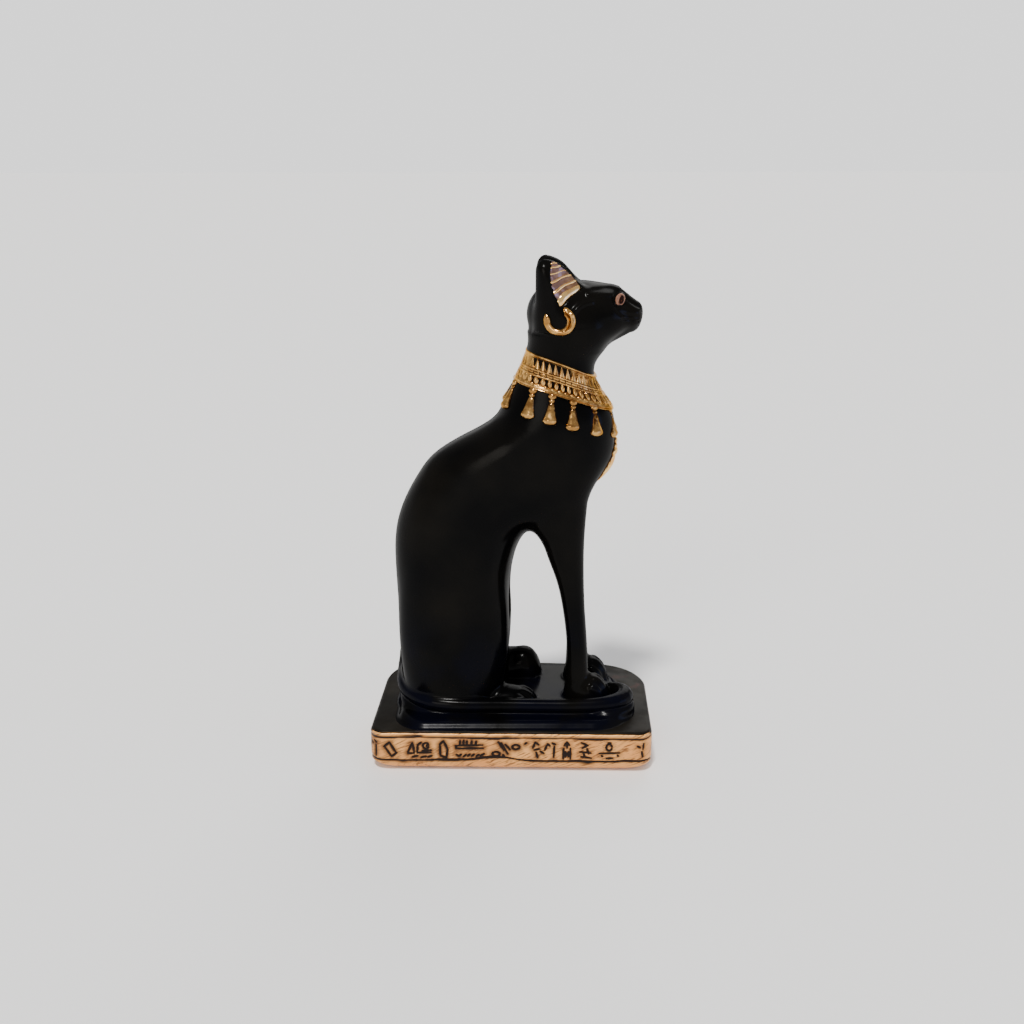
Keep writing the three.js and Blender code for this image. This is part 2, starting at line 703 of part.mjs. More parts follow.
// A curved edge of the hollow in side view, from one corner to another.
function hollowEdge(from, bulge, to, t) {
  return [0, 1].map((k) => (1 - t) ** 2 * from[k] + 2 * t * (1 - t) * bulge[k] + t * t * to[k]);
}

function earHollow(side) {
  const outline = [];
  for (const [from, bulge, to] of [[hollowFoot, hollowFootBulge, hollowFront],
    [hollowFront, hollowFrontBulge, hollowTip], [hollowTip, hollowBackBulge, hollowFoot]]) {
    for (const t of [0, 0.33, 0.67]) {
      outline.push(hollowEdge(from, bulge, to, t));
    }
  }
  const rings = [earHollowDepth, -2 * earHollowDepth].map((depth) => (
    outline.map((place) => onFlat(place, side, depth))
  ));
  if (side > 0) {
    rings.forEach((ring) => ring.reverse());
  }
  return solid(loft(rings));
}

function earRidges(side) {
  const all = [];
  for (let i = 0; i < ridgeCount; i++) {
    const t = i / ridgeCount * 0.92;
    const back = hollowEdge(hollowFoot, hollowBackBulge, hollowTip, t);
    const front = hollowEdge(hollowFront, hollowFrontBulge, hollowTip, t);
    const points = [-0.03, 0.5, 1.03].map((s) => {
      const sag = 4 * s * (1 - s) * 0.5 * (1 - t);
      const x = back[0] + (front[0] - back[0]) * s + sag * 0.6;
      return onFlat([x, back[1] + (front[1] - back[1]) * s - sag * 0.6], side, earHollowDepth * 0.75);
    });
    const radius = earRidgeThickness / 2 * (i ? 0.8 : 1.2);
    all.push(solid(roundBar(new THREE.CatmullRomCurve3(points), 2, 4, () => radius)));
  }
  return all;
}

// Eyes: small raised rings.
const eyePlace = [22, 90.9];

function eye(side) {
  const place = onSide(...eyePlace, side);
  const ring = new THREE.TorusGeometry(eyeDiameter * 0.38, eyeDiameter * 0.12, 5, 12);
  return solid(placeOn(ring, place, new THREE.Vector3(0, 0, 1), outward(place)));
}

// Pectoral on the chest: a long oval with a smaller one above it, as a beetle with its head.
const pectoralPlace = 56.4;

function pectoral() {
  const all = [];
  for (const [drop, height, width] of [[-0.1, 0.8, 1], [0.4, 0.24, 0.62]]) {
    const h = pectoralPlace + drop * pectoralHeight / share;
    const place = surfaceAlong(spot(10, 0, h), new THREE.Vector3(1, 0, 0));
    const face = outward(place);
    const along = new THREE.Vector3(-face.z, 0, face.x);
    const oval = new THREE.SphereGeometry(0.5, 10, 6);
    oval.scale(width * pectoralWidth, height * pectoralHeight, pectoralRaise * 2.6);
    all.push(solid(placeOn(oval, place, along, face)));
  }
  return all;
}

// Putting the casting together

const xs = gridLines(-29, [[-2, 3.2], [29, 2.1]]);
const ys = gridLines(-14, [[-8, 2.2], [8, 1.85], [14, 2.2]]);
const zs = gridLines(-4, [[14, 2.2], [trunkTop - 5, 4], [earTop + 2.2, 1.8]]).map((z) => z + plinthHeight);
const body = solid(skin(cat, xs, ys, zs));
const sides = [-1, 1];
const relief = [
  plinth(), slab(), tail(), collar(), ...tassels(), ...pectoral(), ...sides.map(earring), ...sides.map(eye),
  ...sides.flatMap(earRidges),
];
let whole = sides.reduce((sum, side) => sum.subtract(earHollow(side)), body);
whole = relief.reduce((sum, piece) => sum.add(piece), whole);
const result = whole.getMesh();
const geometry = new THREE.BufferGeometry();
geometry.setAttribute('position', new THREE.Float32BufferAttribute(result.vertProperties, 3));
geometry.setIndex(new THREE.Uint32BufferAttribute(result.triVerts, 1));
const figure = new THREE.Group();
const mesh = new THREE.Mesh(geometry, new THREE.MeshStandardMaterial({ color: black, roughness: 0.2 }));
mesh.name = 'bastet_cat';
figure.add(mesh);
export default figure;
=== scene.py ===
"""Bastet cat: a painted souvenir cast of the seated cat, with its collar, bells and copper band.

Metres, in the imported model's frame: the cat faces +X, its right side is at -Y, Z is up.
"""
import math
import random

import bpy
import numpy as np
from mathutils import Matrix, Vector


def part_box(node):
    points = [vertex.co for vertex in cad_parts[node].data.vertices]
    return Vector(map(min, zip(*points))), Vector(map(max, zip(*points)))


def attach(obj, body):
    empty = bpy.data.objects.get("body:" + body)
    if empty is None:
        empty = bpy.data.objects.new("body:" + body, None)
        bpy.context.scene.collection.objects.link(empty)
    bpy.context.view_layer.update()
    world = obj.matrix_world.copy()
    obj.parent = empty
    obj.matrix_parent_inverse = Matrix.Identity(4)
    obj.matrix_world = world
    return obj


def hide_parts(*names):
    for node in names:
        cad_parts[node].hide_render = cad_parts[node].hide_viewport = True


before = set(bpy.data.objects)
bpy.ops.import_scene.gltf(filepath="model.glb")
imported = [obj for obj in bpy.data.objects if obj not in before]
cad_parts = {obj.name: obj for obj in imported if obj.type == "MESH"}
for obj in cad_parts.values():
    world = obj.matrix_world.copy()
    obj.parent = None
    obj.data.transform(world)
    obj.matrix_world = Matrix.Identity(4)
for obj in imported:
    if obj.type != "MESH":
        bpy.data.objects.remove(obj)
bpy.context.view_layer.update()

# Main sizes, worked out from the frame
MM = 0.001
FIGURE_LOW, FIGURE_HIGH = (Vector(corner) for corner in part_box("bastet_cat"))
FIGURE_HEIGHT = FIGURE_HIGH.z - FIGURE_LOW.z
FIGURE_LENGTH = (FIGURE_HIGH.x - FIGURE_LOW.x) / MM
PLINTH_HEIGHT = 13 * MM
EAR_TOP = 99.3
SHARE = (FIGURE_HEIGHT - PLINTH_HEIGHT) / EAR_TOP
UP_TO_TOP = np.array((0, 0, PLINTH_HEIGHT)).reshape(3, 1)

random.seed(11)


# The camera of the photograph
CAMERA_PLACE = (13.68 * MM, -340.6 * MM, 176.47 * MM)
CAMERA_PITCH = math.radians(16.735)
CAMERA_YAW = math.radians(2.381)
CAMERA_ROLL = math.radians(-0.114)
LENS = 41.04
SENSOR = 36


def make_camera():
    camera = bpy.data.objects.new("photo_camera", bpy.data.cameras.new("photo_camera"))
    bpy.context.scene.collection.objects.link(camera)
    camera.data.lens = LENS
    camera.data.sensor_width = SENSOR
    camera.data.clip_start = 0.01
    turn = Matrix.Rotation(CAMERA_YAW, 4, "Z") @ Matrix.Rotation(math.pi / 2 - CAMERA_PITCH, 4, "X")
    roll = Matrix.Rotation(CAMERA_ROLL, 4, "Z")
    camera.matrix_world = Matrix.Translation(CAMERA_PLACE) @ turn @ roll
    bpy.context.scene.camera = camera


# The cat's form, as distances to its surface
# The same measures as the solid has: shares of the cat's height above the plinth top


def profile(points):
    """A smooth line through a few points, each a height and a value, held level beyond its ends."""
    heights = np.array([p[0] for p in points], float)
    values = np.array([p[1] for p in points], float)
    count = len(points)
    system = np.eye(count)
    turns = np.zeros(count)
    for i in range(1, count - 1):
        before = heights[i] - heights[i - 1]
        after = heights[i + 1] - heights[i]
        system[i, i - 1:i + 2] = before, 2 * (before + after), after
        turns[i] = 6 * ((values[i + 1] - values[i]) / after - (values[i] - values[i - 1]) / before)
    bend = np.linalg.solve(system, turns)

    def at(height):
        h = np.clip(height, heights[0], heights[-1])
        i = np.clip(np.searchsorted(heights, h) - 1, 0, count - 2)
        span = heights[i + 1] - heights[i]
        b = (h - heights[i]) / span
        a = 1 - b
        curve = ((a ** 3 - a) * bend[i] + (b ** 3 - b) * bend[i + 1]) * span ** 2 / 6
        return a * values[i] + b * values[i + 1] + curve

    return at


def blend(a, b, reach):
    """The lower of two distances, with a soft blend of the given reach between them."""
    near = np.maximum(reach - np.abs(a - b), 0)
    return np.minimum(a, b) - near * near / (4 * reach)


def carve(form, tool, reach):
    """The form without the tool, with the edge softened over the given reach."""
    return -blend(-form, tool, reach)


def section(x, y, a, b, fullness):
    """Distance to a round section with semi-axes a and b; a fullness of 2 is an ellipse."""
    u = np.abs(x) / a
    v = np.abs(y) / b
    k = np.maximum((u ** fullness + v ** fullness) ** (1 / fullness), 0.05)
    slope = np.hypot((u / k) ** (fullness - 1) / a, (v / k) ** (fullness - 1) / b)
    return (k - 1) / np.maximum(slope, 0.7 / np.maximum(a, b))


def egg(p, middle, radii):
    """Distance to an egg with its middle and its three semi-axes."""
    u, v, w = ((p[k] - middle[k]) / radii[k] for k in range(3))
    k = np.maximum(np.sqrt(u * u + v * v + w * w), 0.05)
    slope = np.sqrt((u / radii[0]) ** 2 + (v / radii[1]) ** 2 + (w / radii[2]) ** 2) / k
    return (k - 1) / np.maximum(slope, 1e-6)


def bar(p, start, end, start_radius, end_radius):
    """Distance to a tapered round bar between two points."""
    along = np.subtract(end, start)
    reach = [p[k] - start[k] for k in range(3)]
    t = np.clip(sum(reach[k] * along[k] for k in range(3)) / (along @ along), 0, 1)
    off = np.sqrt(sum((reach[k] - along[k] * t) ** 2 for k in range(3)))
    return off - start_radius - (end_radius - start_radius) * t


# Trunk: the line of the back, the line of thighs, belly and chest, and the half width
back_line = profile([
    (-2, -25.1), (14, -25.2), (33, -26), (42, -25.4), (49.5, -22.5), (53.2, -20.3), (56.8, -17.4),
    (60.3, -12.2), (63.8, -5.9), (66, -3.4), (68.5, -2.1), (72, -0.5), (78, 2.3), (84, 3.8)])
front_line = profile([
    (-2, -1.8), (14, -1.7), (22, -1.1), (30, -0.8), (36, 0.4), (39.5, 2.1), (42.5, 5.2), (46, 10.9),
    (50, 15.9), (54, 19.5), (58, 21.3), (61, 21.6), (65, 21.4), (69, 20), (72, 18), (75.5, 16.9),
    (80, 18.2)])
half_width = profile([
    (-2, 11.3), (12, 11.8), (26, 12), (40, 11.6), (52, 10.9), (61, 10), (68, 8.8), (73, 7.7), (77, 7.4),
    (82, 7.9)])
TRUNK_TOP = 83
TRUNK_FULLNESS = 2.35


def trunk(p):
    x, y, h = p
    back = back_line(h)
    front = front_line(h)
    wall = section(x - (back + front) / 2, y, (front - back) / 2, half_width(h), TRUNK_FULLNESS)
    return np.maximum(wall, h - TRUNK_TOP)


def both_sides(p):
    """The same form on both sides, rounded off where the two halves meet."""
    return p[0], np.hypot(p[1], 0.5), p[2]


THIGH = (-12.8, 6.2, 17), (11.4, 6.7, 22)
SHOULDER = (8.4, 4.6, 60), (9.6, 5.6, 12)

# Front legs: two columns that grow out of the chest, with a thinner web between them
leg_front = profile([
    (-2, 17), (12, 16.5), (20, 15.9), (30, 15.4), (40, 15.4), (45, 15.7), (50, 16.1), (56, 16.5)])
leg_rear = profile([
    (-2, 11.6), (10, 12.2), (16, 12.1), (22, 11.4), (27, 10.5), (31.5, 9.2), (35, 7.9), (38, 6.8),
    (41, 4.8), (45, 0)])
leg_middle = profile([(-2, 5), (12, 4.5), (24, 4.1), (36, 4.1), (56, 4.3)])
leg_half_width = profile([(-2, 3.2), (12, 2.7), (24, 2.8), (33, 3.3), (42, 4.4), (50, 5.1), (58, 4.2)])
LEG_TOP = 58
WEB_HOLD = 0.72


def front_legs(p):
    x, y, h = p
    front = leg_front(h)
    rear = leg_rear(h)
    middle = (front + rear) / 2
    half = (front - rear) / 2
    column = section(x - middle, np.abs(y) - leg_middle(h), half, leg_half_width(h), 2.3)
    web = section(x - middle, y, half * WEB_HOLD, leg_middle(h), 3)
    return carve(blend(column, web, 1.1), LEG_TOP - h, 5)


FRONT_PAW = (16.4, 5, 2.2), (4.8, 3.7, 5.6)
LEFT_HIND_PAW = (-0.8, 7.2, 2.2), (6.6, 4.1, 6.4)
LEFT_HIND_KNUCKLES = (2.2, 7.2, 4.2), (3.3, 3.6, 4.6)
RIGHT_HIND_PAW = (-1.3, 7.4, 2), (6.3, 4.2, 3.7)
TOES = (-0.68, -0.23, 0.23, 0.68)
TOE_RADIUS = 1.05
TOE_SUNK = 0.7
TOE_GATHER = 0.92
TOE_END = 84


def paw(p, middle, radii, toe_start):
    """A domed paw with four toes that run down over its front."""
    form = egg(p, middle, radii)
    for side in TOES:
        width = math.sqrt(1 - side ** 2)
        ahead, up = ((radii[k] - TOE_SUNK) * width for k in (0, 2))
        across = middle[1] + radii[1] * side * TOE_GATHER
        stops = [
            (middle[0] + ahead * math.sin(angle), across, middle[2] + up * math.cos(angle))
            for angle in np.radians(np.linspace(toe_start, TOE_END, 6))]
        toe = np.minimum.reduce([
            bar(p, start, end, TOE_RADIUS, TOE_RADIUS) for start, end in zip(stops, stops[1:])])
        form = blend(form, toe, 0.25)
    return form


def paws(p):
    mirrored = both_sides(p)
    left = blend(paw(mirrored, *LEFT_HIND_PAW, 55), egg(mirrored, *LEFT_HIND_KNUCKLES), 1)
    hind = np.where(p[1] > 0, left, paw(mirrored, *RIGHT_HIND_PAW, 40))
    return np.minimum(paw(mirrored, *FRONT_PAW, 28), hind)


# Head: eggs by middle and semi-axes, bars by their two ends and two radii, in the order they are blended in
SKULL = (12.1, 0, 87.2), (9, 8.9, 6.9)
BACK_OF_SKULL = (9.6, 0, 88.2), (5.9, 5.5, 5.7)
BROW = (16.4, 0, 88.5), (7.2, 6.4, 5.2)
NOSE = (20.9, 0, 90), (24.8, 0, 88.3), 2.9, 2
JAW = (17, 0, 85), (24.2, 0, 86), 4.9, 2.2
LIPS = (21.4, 2.1, 87), (24.2, 1.6, 87.2), 2.5, 2.2
CHEEK = (13.6, 4.1, 84.6), (6.2, 5.2, 4.8)
FORE_CHEEK = (18.4, 3.1, 86.8), (4.6, 3.6, 3.6)


def head(p):
    mirrored = both_sides(p)
    form = egg(p, *SKULL)
    form = blend(form, egg(p, *BACK_OF_SKULL), 1.4)
    form = blend(form, egg(p, *BROW), 2)
    form = blend(form, bar(p, *NOSE), 1.6)
    form = blend(form, bar(p, *JAW), 1.6)
    form = blend(form, bar(mirrored, *LIPS), 1)
    form = blend(form, egg(mirrored, *CHEEK), 2)
    return blend(form, egg(mirrored, *FORE_CHEEK), 1.6)


# Ears: tall cones of oval section, upright at the back, with a flat that faces out and forwards
ear_back = profile([(80, 5.2), (90, 4.9), (95, 4.95), (98, 5.1), (99.3, 5.4)])
ear_front = profile([
    (80, 14.8), (90, 15.4), (93.3, 14.8), (95.3, 12.8),
    (97.2, 11), (98.8, 9), (99.3, 8)])
ear_middle = profile([(80, 4.9), (90, 5.2), (99.3, 6)])
ear_half_width = profile([(80, 3.8), (88, 3.9), (94, 3.3), (98, 2), (99.3, 1)])
EAR_FLAT_POINT = np.array((14.15, 4.9, 93.5))
EAR_FLAT_NORMAL = np.array((0.5, 0.81, 0.3)) / np.linalg.norm((0.5, 0.81, 0.3))
EAR_FOOT = 85
EAR_EDGE_ROUND = 1.5
EAR_TIP_ROUND = 2.6

# The hollow in that flat, in side view, which holds the enamel
HOLLOW_TIP = 8.3, 98.9
HOLLOW_FRONT = 14.35, 93.1
HOLLOW_FOOT = 10.05, 89.5
HOLLOW_BACK_BULGE = 6.2, 96.2
HOLLOW_FRONT_BULGE = 11.9, 96.7
HOLLOW_FOOT_BULGE = 11.9, 91.75
HOLLOW_DEPTH = 0.55
HOLLOW_EDGE_ROUND = 0.15

# Lines of the face in side view, each with how deep it is cut and how wide; a raised one is below zero
FACE_LINES = [
    ([(23.1, 91.1), (24.2, 90.15), (25.4, 89.45), (26.1, 89.05)], 0.26, 0.22),
    ([(23.4, 90.3), (24.8, 89.3), (26, 88.6)], -0.1, 0.4),
    ([(21.1, 89.8), (21.7, 88.7), (22.5, 88), (23.6, 87.6), (24.7, 87.5), (25.6, 87.2)], 0.26, 0.5),
    ([(22.6, 87), (24.9, 86.6), (26, 86.2)], 0.3, 0.16),
    ([(14.3, 92.8), (16.3, 93.4), (18.5, 93.6), (20.5, 93.5), (21.8, 93)], -0.2, 0.42),
    ([(12.4, 88.7), (13, 89.4), (13.9, 90.1), (15, 90.6), (16.2, 90.8)], -0.4, 0.5),
    ([(15.6, 92.25), (16.8, 92.2), (18.5, 92.1), (20.3, 92)], -0.36, 0.6),
]
EYE_PLACE = 22, 90.9
LID_RADIUS = 1.42
LID_DEPTH = 0.16
LID_WIDTH = 0.17


def ears(p):
    x, y, h = p
    back = ear_back(h)
    front = ear_front(h)
    outer = np.abs(y)
    wall = section(x - (back + front) / 2, outer - ear_middle(h), (front - back) / 2, ear_half_width(h), 2)
    form = carve(wall, -flat_distance(p), EAR_EDGE_ROUND)
    form = carve(form, EAR_TOP - h, EAR_TIP_ROUND)
    return np.maximum(form, EAR_FOOT - h)


def flat_distance(p):
    """How far a place stands off the flat of the ear on its side."""
    x, y, h = p
    n = EAR_FLAT_NORMAL
    return n[0] * x + n[1] * np.abs(y) + n[2] * h - n @ EAR_FLAT_POINT


def line_distance(x, h, stops):
    """Distance to a line through a few stops in side view."""
    away = np.full(x.shape, np.inf)
    for (x0, h0), (x1, h1) in zip(stops, stops[1:]):
        dx, dh = x1 - x0, h1 - h0
        t = np.clip(((x - x0) * dx + (h - h0) * dh) / (dx * dx + dh * dh), 0, 1)
        away = np.minimum(away, np.hypot(x - x0 - dx * t, h - h0 - dh * t))
    return away


def outline_distance(x, h, corners):
    """Distance to a closed outline in side view, below zero inside it."""
    closed = corners + corners[:1]
    inside = np.zeros(x.shape, bool)
    for (x0, h0), (x1, h1) in zip(closed, closed[1:]):
        if h0 != h1:
            inside ^= ((h0 > h) != (h1 > h)) & (x < (x1 - x0) * (h - h0) / (h1 - h0) + x0)
    away = line_distance(x, h, closed)
    return np.where(inside, -away, away)


def bowed(start, bulge, end, t):
    """A place on a bowed edge in side view."""
    return [(1 - t) ** 2 * start[k] + 2 * t * (1 - t) * bulge[k] + t * t * end[k] for k in (0, 1)]


def hollow_outline():
    corners = []
    for start, bulge, end in (
            (HOLLOW_FOOT, HOLLOW_FOOT_BULGE, HOLLOW_FRONT), (HOLLOW_FRONT, HOLLOW_FRONT_BULGE, HOLLOW_TIP),
            (HOLLOW_TIP, HOLLOW_BACK_BULGE, HOLLOW_FOOT)):
        corners += [tuple(bowed(start, bulge, end, t)) for t in np.arange(0, 1, 0.125)]
    return corners


def head_details(form, p):
    """The head with the lines of its face, the groove round each eye and the hollows of the ears."""
    x, _, h = p
    for stops, depth, width in FACE_LINES:
        form = form + depth * np.exp(-(line_distance(x, h, stops) / width) ** 2)
    lid = np.abs(np.hypot(x - EYE_PLACE[0], h - EYE_PLACE[1]) - LID_RADIUS)
    form = form + LID_DEPTH * np.exp(-(lid / LID_WIDTH) ** 2)
    near = (h > HOLLOW_FOOT[1] - 1) & (x > 5)
    if near.any():
        outline = outline_distance(x[near], h[near], hollow_outline())
        bed = -flat_distance(tuple(axis[near] for axis in p)) - HOLLOW_DEPTH
        form[near] = carve(form[near], np.maximum(outline, bed), HOLLOW_EDGE_ROUND)
    return form


# The levels that the paws and the head are asked for, and the thickness of the paint over the casting
PAWS_END = 12
HEAD_START = 66
PAINT_COAT = 0.2


def cat_form(p):
    mirrored = both_sides(p)
    form = blend(trunk(p), egg(mirrored, *THIGH), 3)
    form = blend(form, egg(mirrored, *SHOULDER), 3)
    form = blend(form, front_legs(p), 3)
    for near, add in ((p[2] < PAWS_END, with_paws), (p[2] > HEAD_START, with_head)):
        if near.any():
            form[near] = add(form[near], tuple(axis[near] for axis in p))
    return form - PAINT_COAT


def with_paws(form, p):
    return blend(form, paws(p), 1)


def with_head(form, p):
    form = blend(form, head(p), 3)
    return head_details(blend(form, ears(p), 1.3), p)


def route_points(stops, count):
    """A smooth route through a few stops, as evenly spread points."""
    stops = np.array(stops, float)
    reach = np.concatenate([[0], np.cumsum(np.linalg.norm(np.diff(stops[:, :3], axis=0), axis=1))])
    lines = [profile(list(zip(reach, stops[:, k]))) for k in range(stops.shape[1])]
    steps = np.linspace(0, reach[-1], count)
    return np.stack([line(steps) for line in lines], axis=1)


# Base under the cat: a slab that carries the tail round the near front paw, on a lower and wider step
SLAB_HEIGHT = 3.5 * MM / SHARE
SLAB_ROUND = 0.9 * MM / SHARE
SLAB_CORNERS = (-25.7, -12.9, 9), (22.9, -12.3, 7), (21.4, 12, 5), (-25.7, 12.6, 11)
SLAB_BAY = (21.1, -6.9), 6.2
STEP_HEIGHT = 2 * MM / SHARE
STEP_ROUND = 1.6 * MM / SHARE
STEP_CORNERS = (-24.8, -18.2, 6.5), (26.6, -16.2, 8), (22.3, 13.6, 8), (-26.2, 14, 12)
TAIL_ROUTE = [
    (-23.8, 4.8, 11.5, 1.7), (-24.9, 4.8, 8.4, 1.7), (-25.4, 3.4, 5.9, 1.6), (-25.2, -0.8, 4.9, 1.6),
    (-24.1, -5.5, 4.1, 1.65), (-21.6, -8.9, 3.6, 1.75), (-19.2, -10.9, 3.45, 1.75), (-14, -12.3, 3.3, 1.65),
    (-5.4, -12.2, 3.2, 1.5), (6.2, -11.9, 3.2, 1.5), (19.4, -11.1, 3.3, 1.65), (23.6, -9.5, 3.4, 1.9),
    (25, -6.7, 3.4, 2), (23.9, -3.9, 3.4, 1.75), (22.3, -3, 3.5, 1.35)]
TAIL_STEPS = 60
SUNK = 1 * MM / SHARE
# The plinth's front edge seen from above, in mm: its distance at the middle, and its slant per share
PLINTH_FRONT_MIDDLE = 26.2
PLINTH_FRONT_SLANT = 0.026
PLINTH_SKIN = 0.04 * MM / SHARE
STEP_SPREAD = 1.2
LIP_KEPT = 0.6
BASE_END = 18


def plan_distance(x, y, outline_corners):
    """Distance to an outline seen from above: four sides with a round corner at each."""
    outline = np.full(x.shape, -np.inf)
    corners = [np.array(corner[:2]) for corner in outline_corners]
    radii = [corner[2] for corner in outline_corners]
    for i, corner in enumerate(corners):
        following = corners[(i + 1) % 4]
        along = (following - corner) / np.linalg.norm(following - corner)
        outline = np.maximum(outline, (x - corner[0]) * along[1] - (y - corner[1]) * along[0])
    for i, corner in enumerate(corners):
        before = corners[i - 1] - corner
        after = corners[(i + 1) % 4] - corner
        before = before / np.linalg.norm(before)
        after = after / np.linalg.norm(after)
        half = math.acos(before @ after) / 2
        inward = (before + after) / np.linalg.norm(before + after)
        middle = corner + inward * radii[i] / math.sin(half)
        near = (x - middle[0]) * inward[0] + (y - middle[1]) * inward[1]
        off = np.hypot(x - middle[0], y - middle[1])
        wedge = near < -off * math.sin(half)
        outline = np.where(wedge, off - radii[i], outline)
    return outline


def layer(plan, p, height, edge_round):
    """A layer of the base, from its outline, its height and the round of its upper edge."""
    return carve(plan, height - p[2], edge_round * 1.8)


def tail_form(p):
    route = route_points(TAIL_ROUTE, TAIL_STEPS)
    form = np.full(p[0].shape, np.inf)
    for (*start, start_radius), (*end, end_radius) in zip(route, route[1:]):
        form = np.minimum(form, bar(p, start, end, start_radius, end_radius))
    return form


def base_form(p):
    """Step, slab and tail, run into each other and into the plinth's top."""
    bay = np.hypot(p[0] - SLAB_BAY[0][0], p[1] - SLAB_BAY[0][1]) - SLAB_BAY[1]
    slab = layer(blend(plan_distance(p[0], p[1], SLAB_CORNERS), bay, 0.8), p, SLAB_HEIGHT, SLAB_ROUND)
    step_plan = plan_distance(p[0], p[1], STEP_CORNERS)
    form = blend(layer(step_plan, p, STEP_HEIGHT, STEP_ROUND), p[2] + PLINTH_SKIN, 1)
    form = blend(np.maximum(form, step_plan - STEP_SPREAD), slab, 1.1)
    form = blend(form, tail_form(p), 0.35)
    front_edge = (PLINTH_FRONT_MIDDLE - PLINTH_FRONT_SLANT * p[0]) * MM / SHARE - LIP_KEPT
    return np.maximum(form, -p[1] - front_edge)


def whole_form(p):
    """Cat, slab and tail; only the levels near the base are asked for the last two."""
    form = cat_form(p)
    low = p[2] < BASE_END
    if low.any():
        softness = 0.6 + 2.4 * np.clip((p[2][low] - 5.5) / 3, 0, 1)
        form[low] = blend(form[low], base_form(tuple(axis[low] for axis in p)), softness)
    return np.maximum(form, -p[2] - SUNK)


# Turning the distances into a closed mesh


def slope_of(form, points):
    """The slope of the distances at some points, measured a short way to each side."""
    step = 0.02
    rises = []
    for k in range(3):
        ahead = list(points)
        behind = list(points)
        ahead[k] = points[k] + step
        behind[k] = points[k] - step
        rises.append((form(tuple(ahead)) - form(tuple(behind))) / (2 * step))
    return np.array(rises)


def seat(form, points, limit, rounds=3):
    """Moves points along the slope of the distances onto the surface."""
    for _ in range(rounds):
        slope = slope_of(form, points)
        step = form(tuple(points)) / np.maximum((slope ** 2).sum(axis=0), 0.1)
        points = points - slope * np.clip(step, -limit, limit)
    return points


def grid_lines(start, *zones):
    """Grid lines along one axis, closer together where the form is finer."""
    lines = [np.array([start])]
    for end, step in zones:
        count = round((end - start) / step)
        lines.append(start + (end - start) * np.arange(1, count + 1) / count)
        start = end
    return np.concatenate(lines)


def skin(form, lines):
    """One vertex in each cell that the surface crosses, joined across the crossed grid lines."""
    grid = np.stack(np.meshgrid(*lines, indexing="ij"))
    values = np.empty(grid.shape[1:])
    layers = 24
    for k in range(0, values.shape[2], layers):
        part = tuple(np.ascontiguousarray(grid[a][:, :, k:k + layers]) for a in range(3))
        values[:, :, k:k + layers] = form(part)
    inside = values < 0
    cells = tuple(n - 1 for n in values.shape)
    sums = np.zeros((3, *cells))
    counts = np.zeros(cells, int)
    crossings = []
    for axis in range(3):
        ahead = [slice(None)] * 3
        behind = [slice(None)] * 3
        ahead[axis] = slice(1, None)
        behind[axis] = slice(None, -1)
        ahead, behind = tuple(ahead), tuple(behind)
        crossed = inside[ahead] != inside[behind]
        crossings.append(crossed)
        gap = np.where(crossed, values[behind] - values[ahead], 1)
        part = np.where(crossed, values[behind] / gap, 0) * (grid[axis][ahead] - grid[axis][behind])
        others = [a for a in range(3) if a != axis]
        for first in (0, 1):
            for second in (0, 1):
                window = [slice(None)] * 3
                window[others[0]] = slice(first, first + cells[others[0]])
                window[others[1]] = slice(second, second + cells[others[1]])
                window = tuple(window)
                hit = crossed[window]
                counts += hit
                for a in range(3):
                    place = grid[a][behind][window]
                    if a == axis:
                        place = place + part[window]
                    sums[a] += np.where(hit, place, 0)
    used = counts > 0
    number = np.full(cells, -1)
    number[used] = np.arange(used.sum())
    finest = min(np.diff(line).min() for line in lines)
    points = seat(form, sums[:, used] / counts[used], finest / 4)
    faces = []
    for axis in range(3):
        u, v = (axis + 1) % 3, (axis + 2) % 3
        where = np.array(np.nonzero(crossings[axis]))
        keep = (where[u] > 0) & (where[v] > 0)
        where = where[:, keep]
        outward = inside[tuple(where)]
        corners = []
        for shift_u, shift_v in ((-1, -1), (0, -1), (0, 0), (-1, 0)):
            cell = where.copy()
            cell[u] += shift_u
            cell[v] += shift_v
            corners.append(number[tuple(cell)])
        quads = np.stack(corners, axis=1)
        quads[~outward] = quads[~outward][:, ::-1]
        faces.append(quads)
    return points, np.concatenate(faces)


def to_metres(points):
    """From shares above the plinth top to metres in the frame."""
    return points * SHARE + UP_TO_TOP


def to_shares(points):
    """From metres in the frame to shares above the plinth top."""
    return (points - UP_TO_TOP) / SHARE


def note(piece, name, values):
    """Keeps one value for each point of a piece, for its finish."""
    kept = piece.data.attributes.new(name, "FLOAT", "POINT")
    kept.data.foreach_set("value", np.asarray(values, float).ravel())


def new_piece(name, points, faces, *materials):
    mesh = bpy.data.meshes.new(name)
    mesh.from_pydata(points.tolist(), [], faces.tolist())
    mesh.validate()
    piece = bpy.data.objects.new(name, mesh)
    bpy.context.scene.collection.objects.link(piece)
    for material in materials:
        mesh.materials.append(material)
    mesh.shade_smooth()
    return piece


COARSE = 1
CAT_GRID = (
    grid_lines(-28.8, (11, 0.54 * COARSE), (29.2, 0.3 * COARSE)),
    grid_lines(-20.6, (-17.5, 0.26 * COARSE), (-9, 0.4 * COARSE), (8, 0.34 * COARSE), (16, 0.53 * COARSE)),
    grid_lines(-1.5, (-0.2, 0.4), (4.6, 0.22 * COARSE), (10, 0.4 * COARSE), (80, 0.62 * COARSE),
               (100.6, 0.3 * COARSE)))


def make_cat(material):
    points, faces = skin(whole_form, CAT_GRID)
    cat = new_piece("cat_casting", to_metres(points).T, faces, material)
    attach(cat, "root")
    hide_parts("bastet_cat")


# Places on the cat's surface, in shares


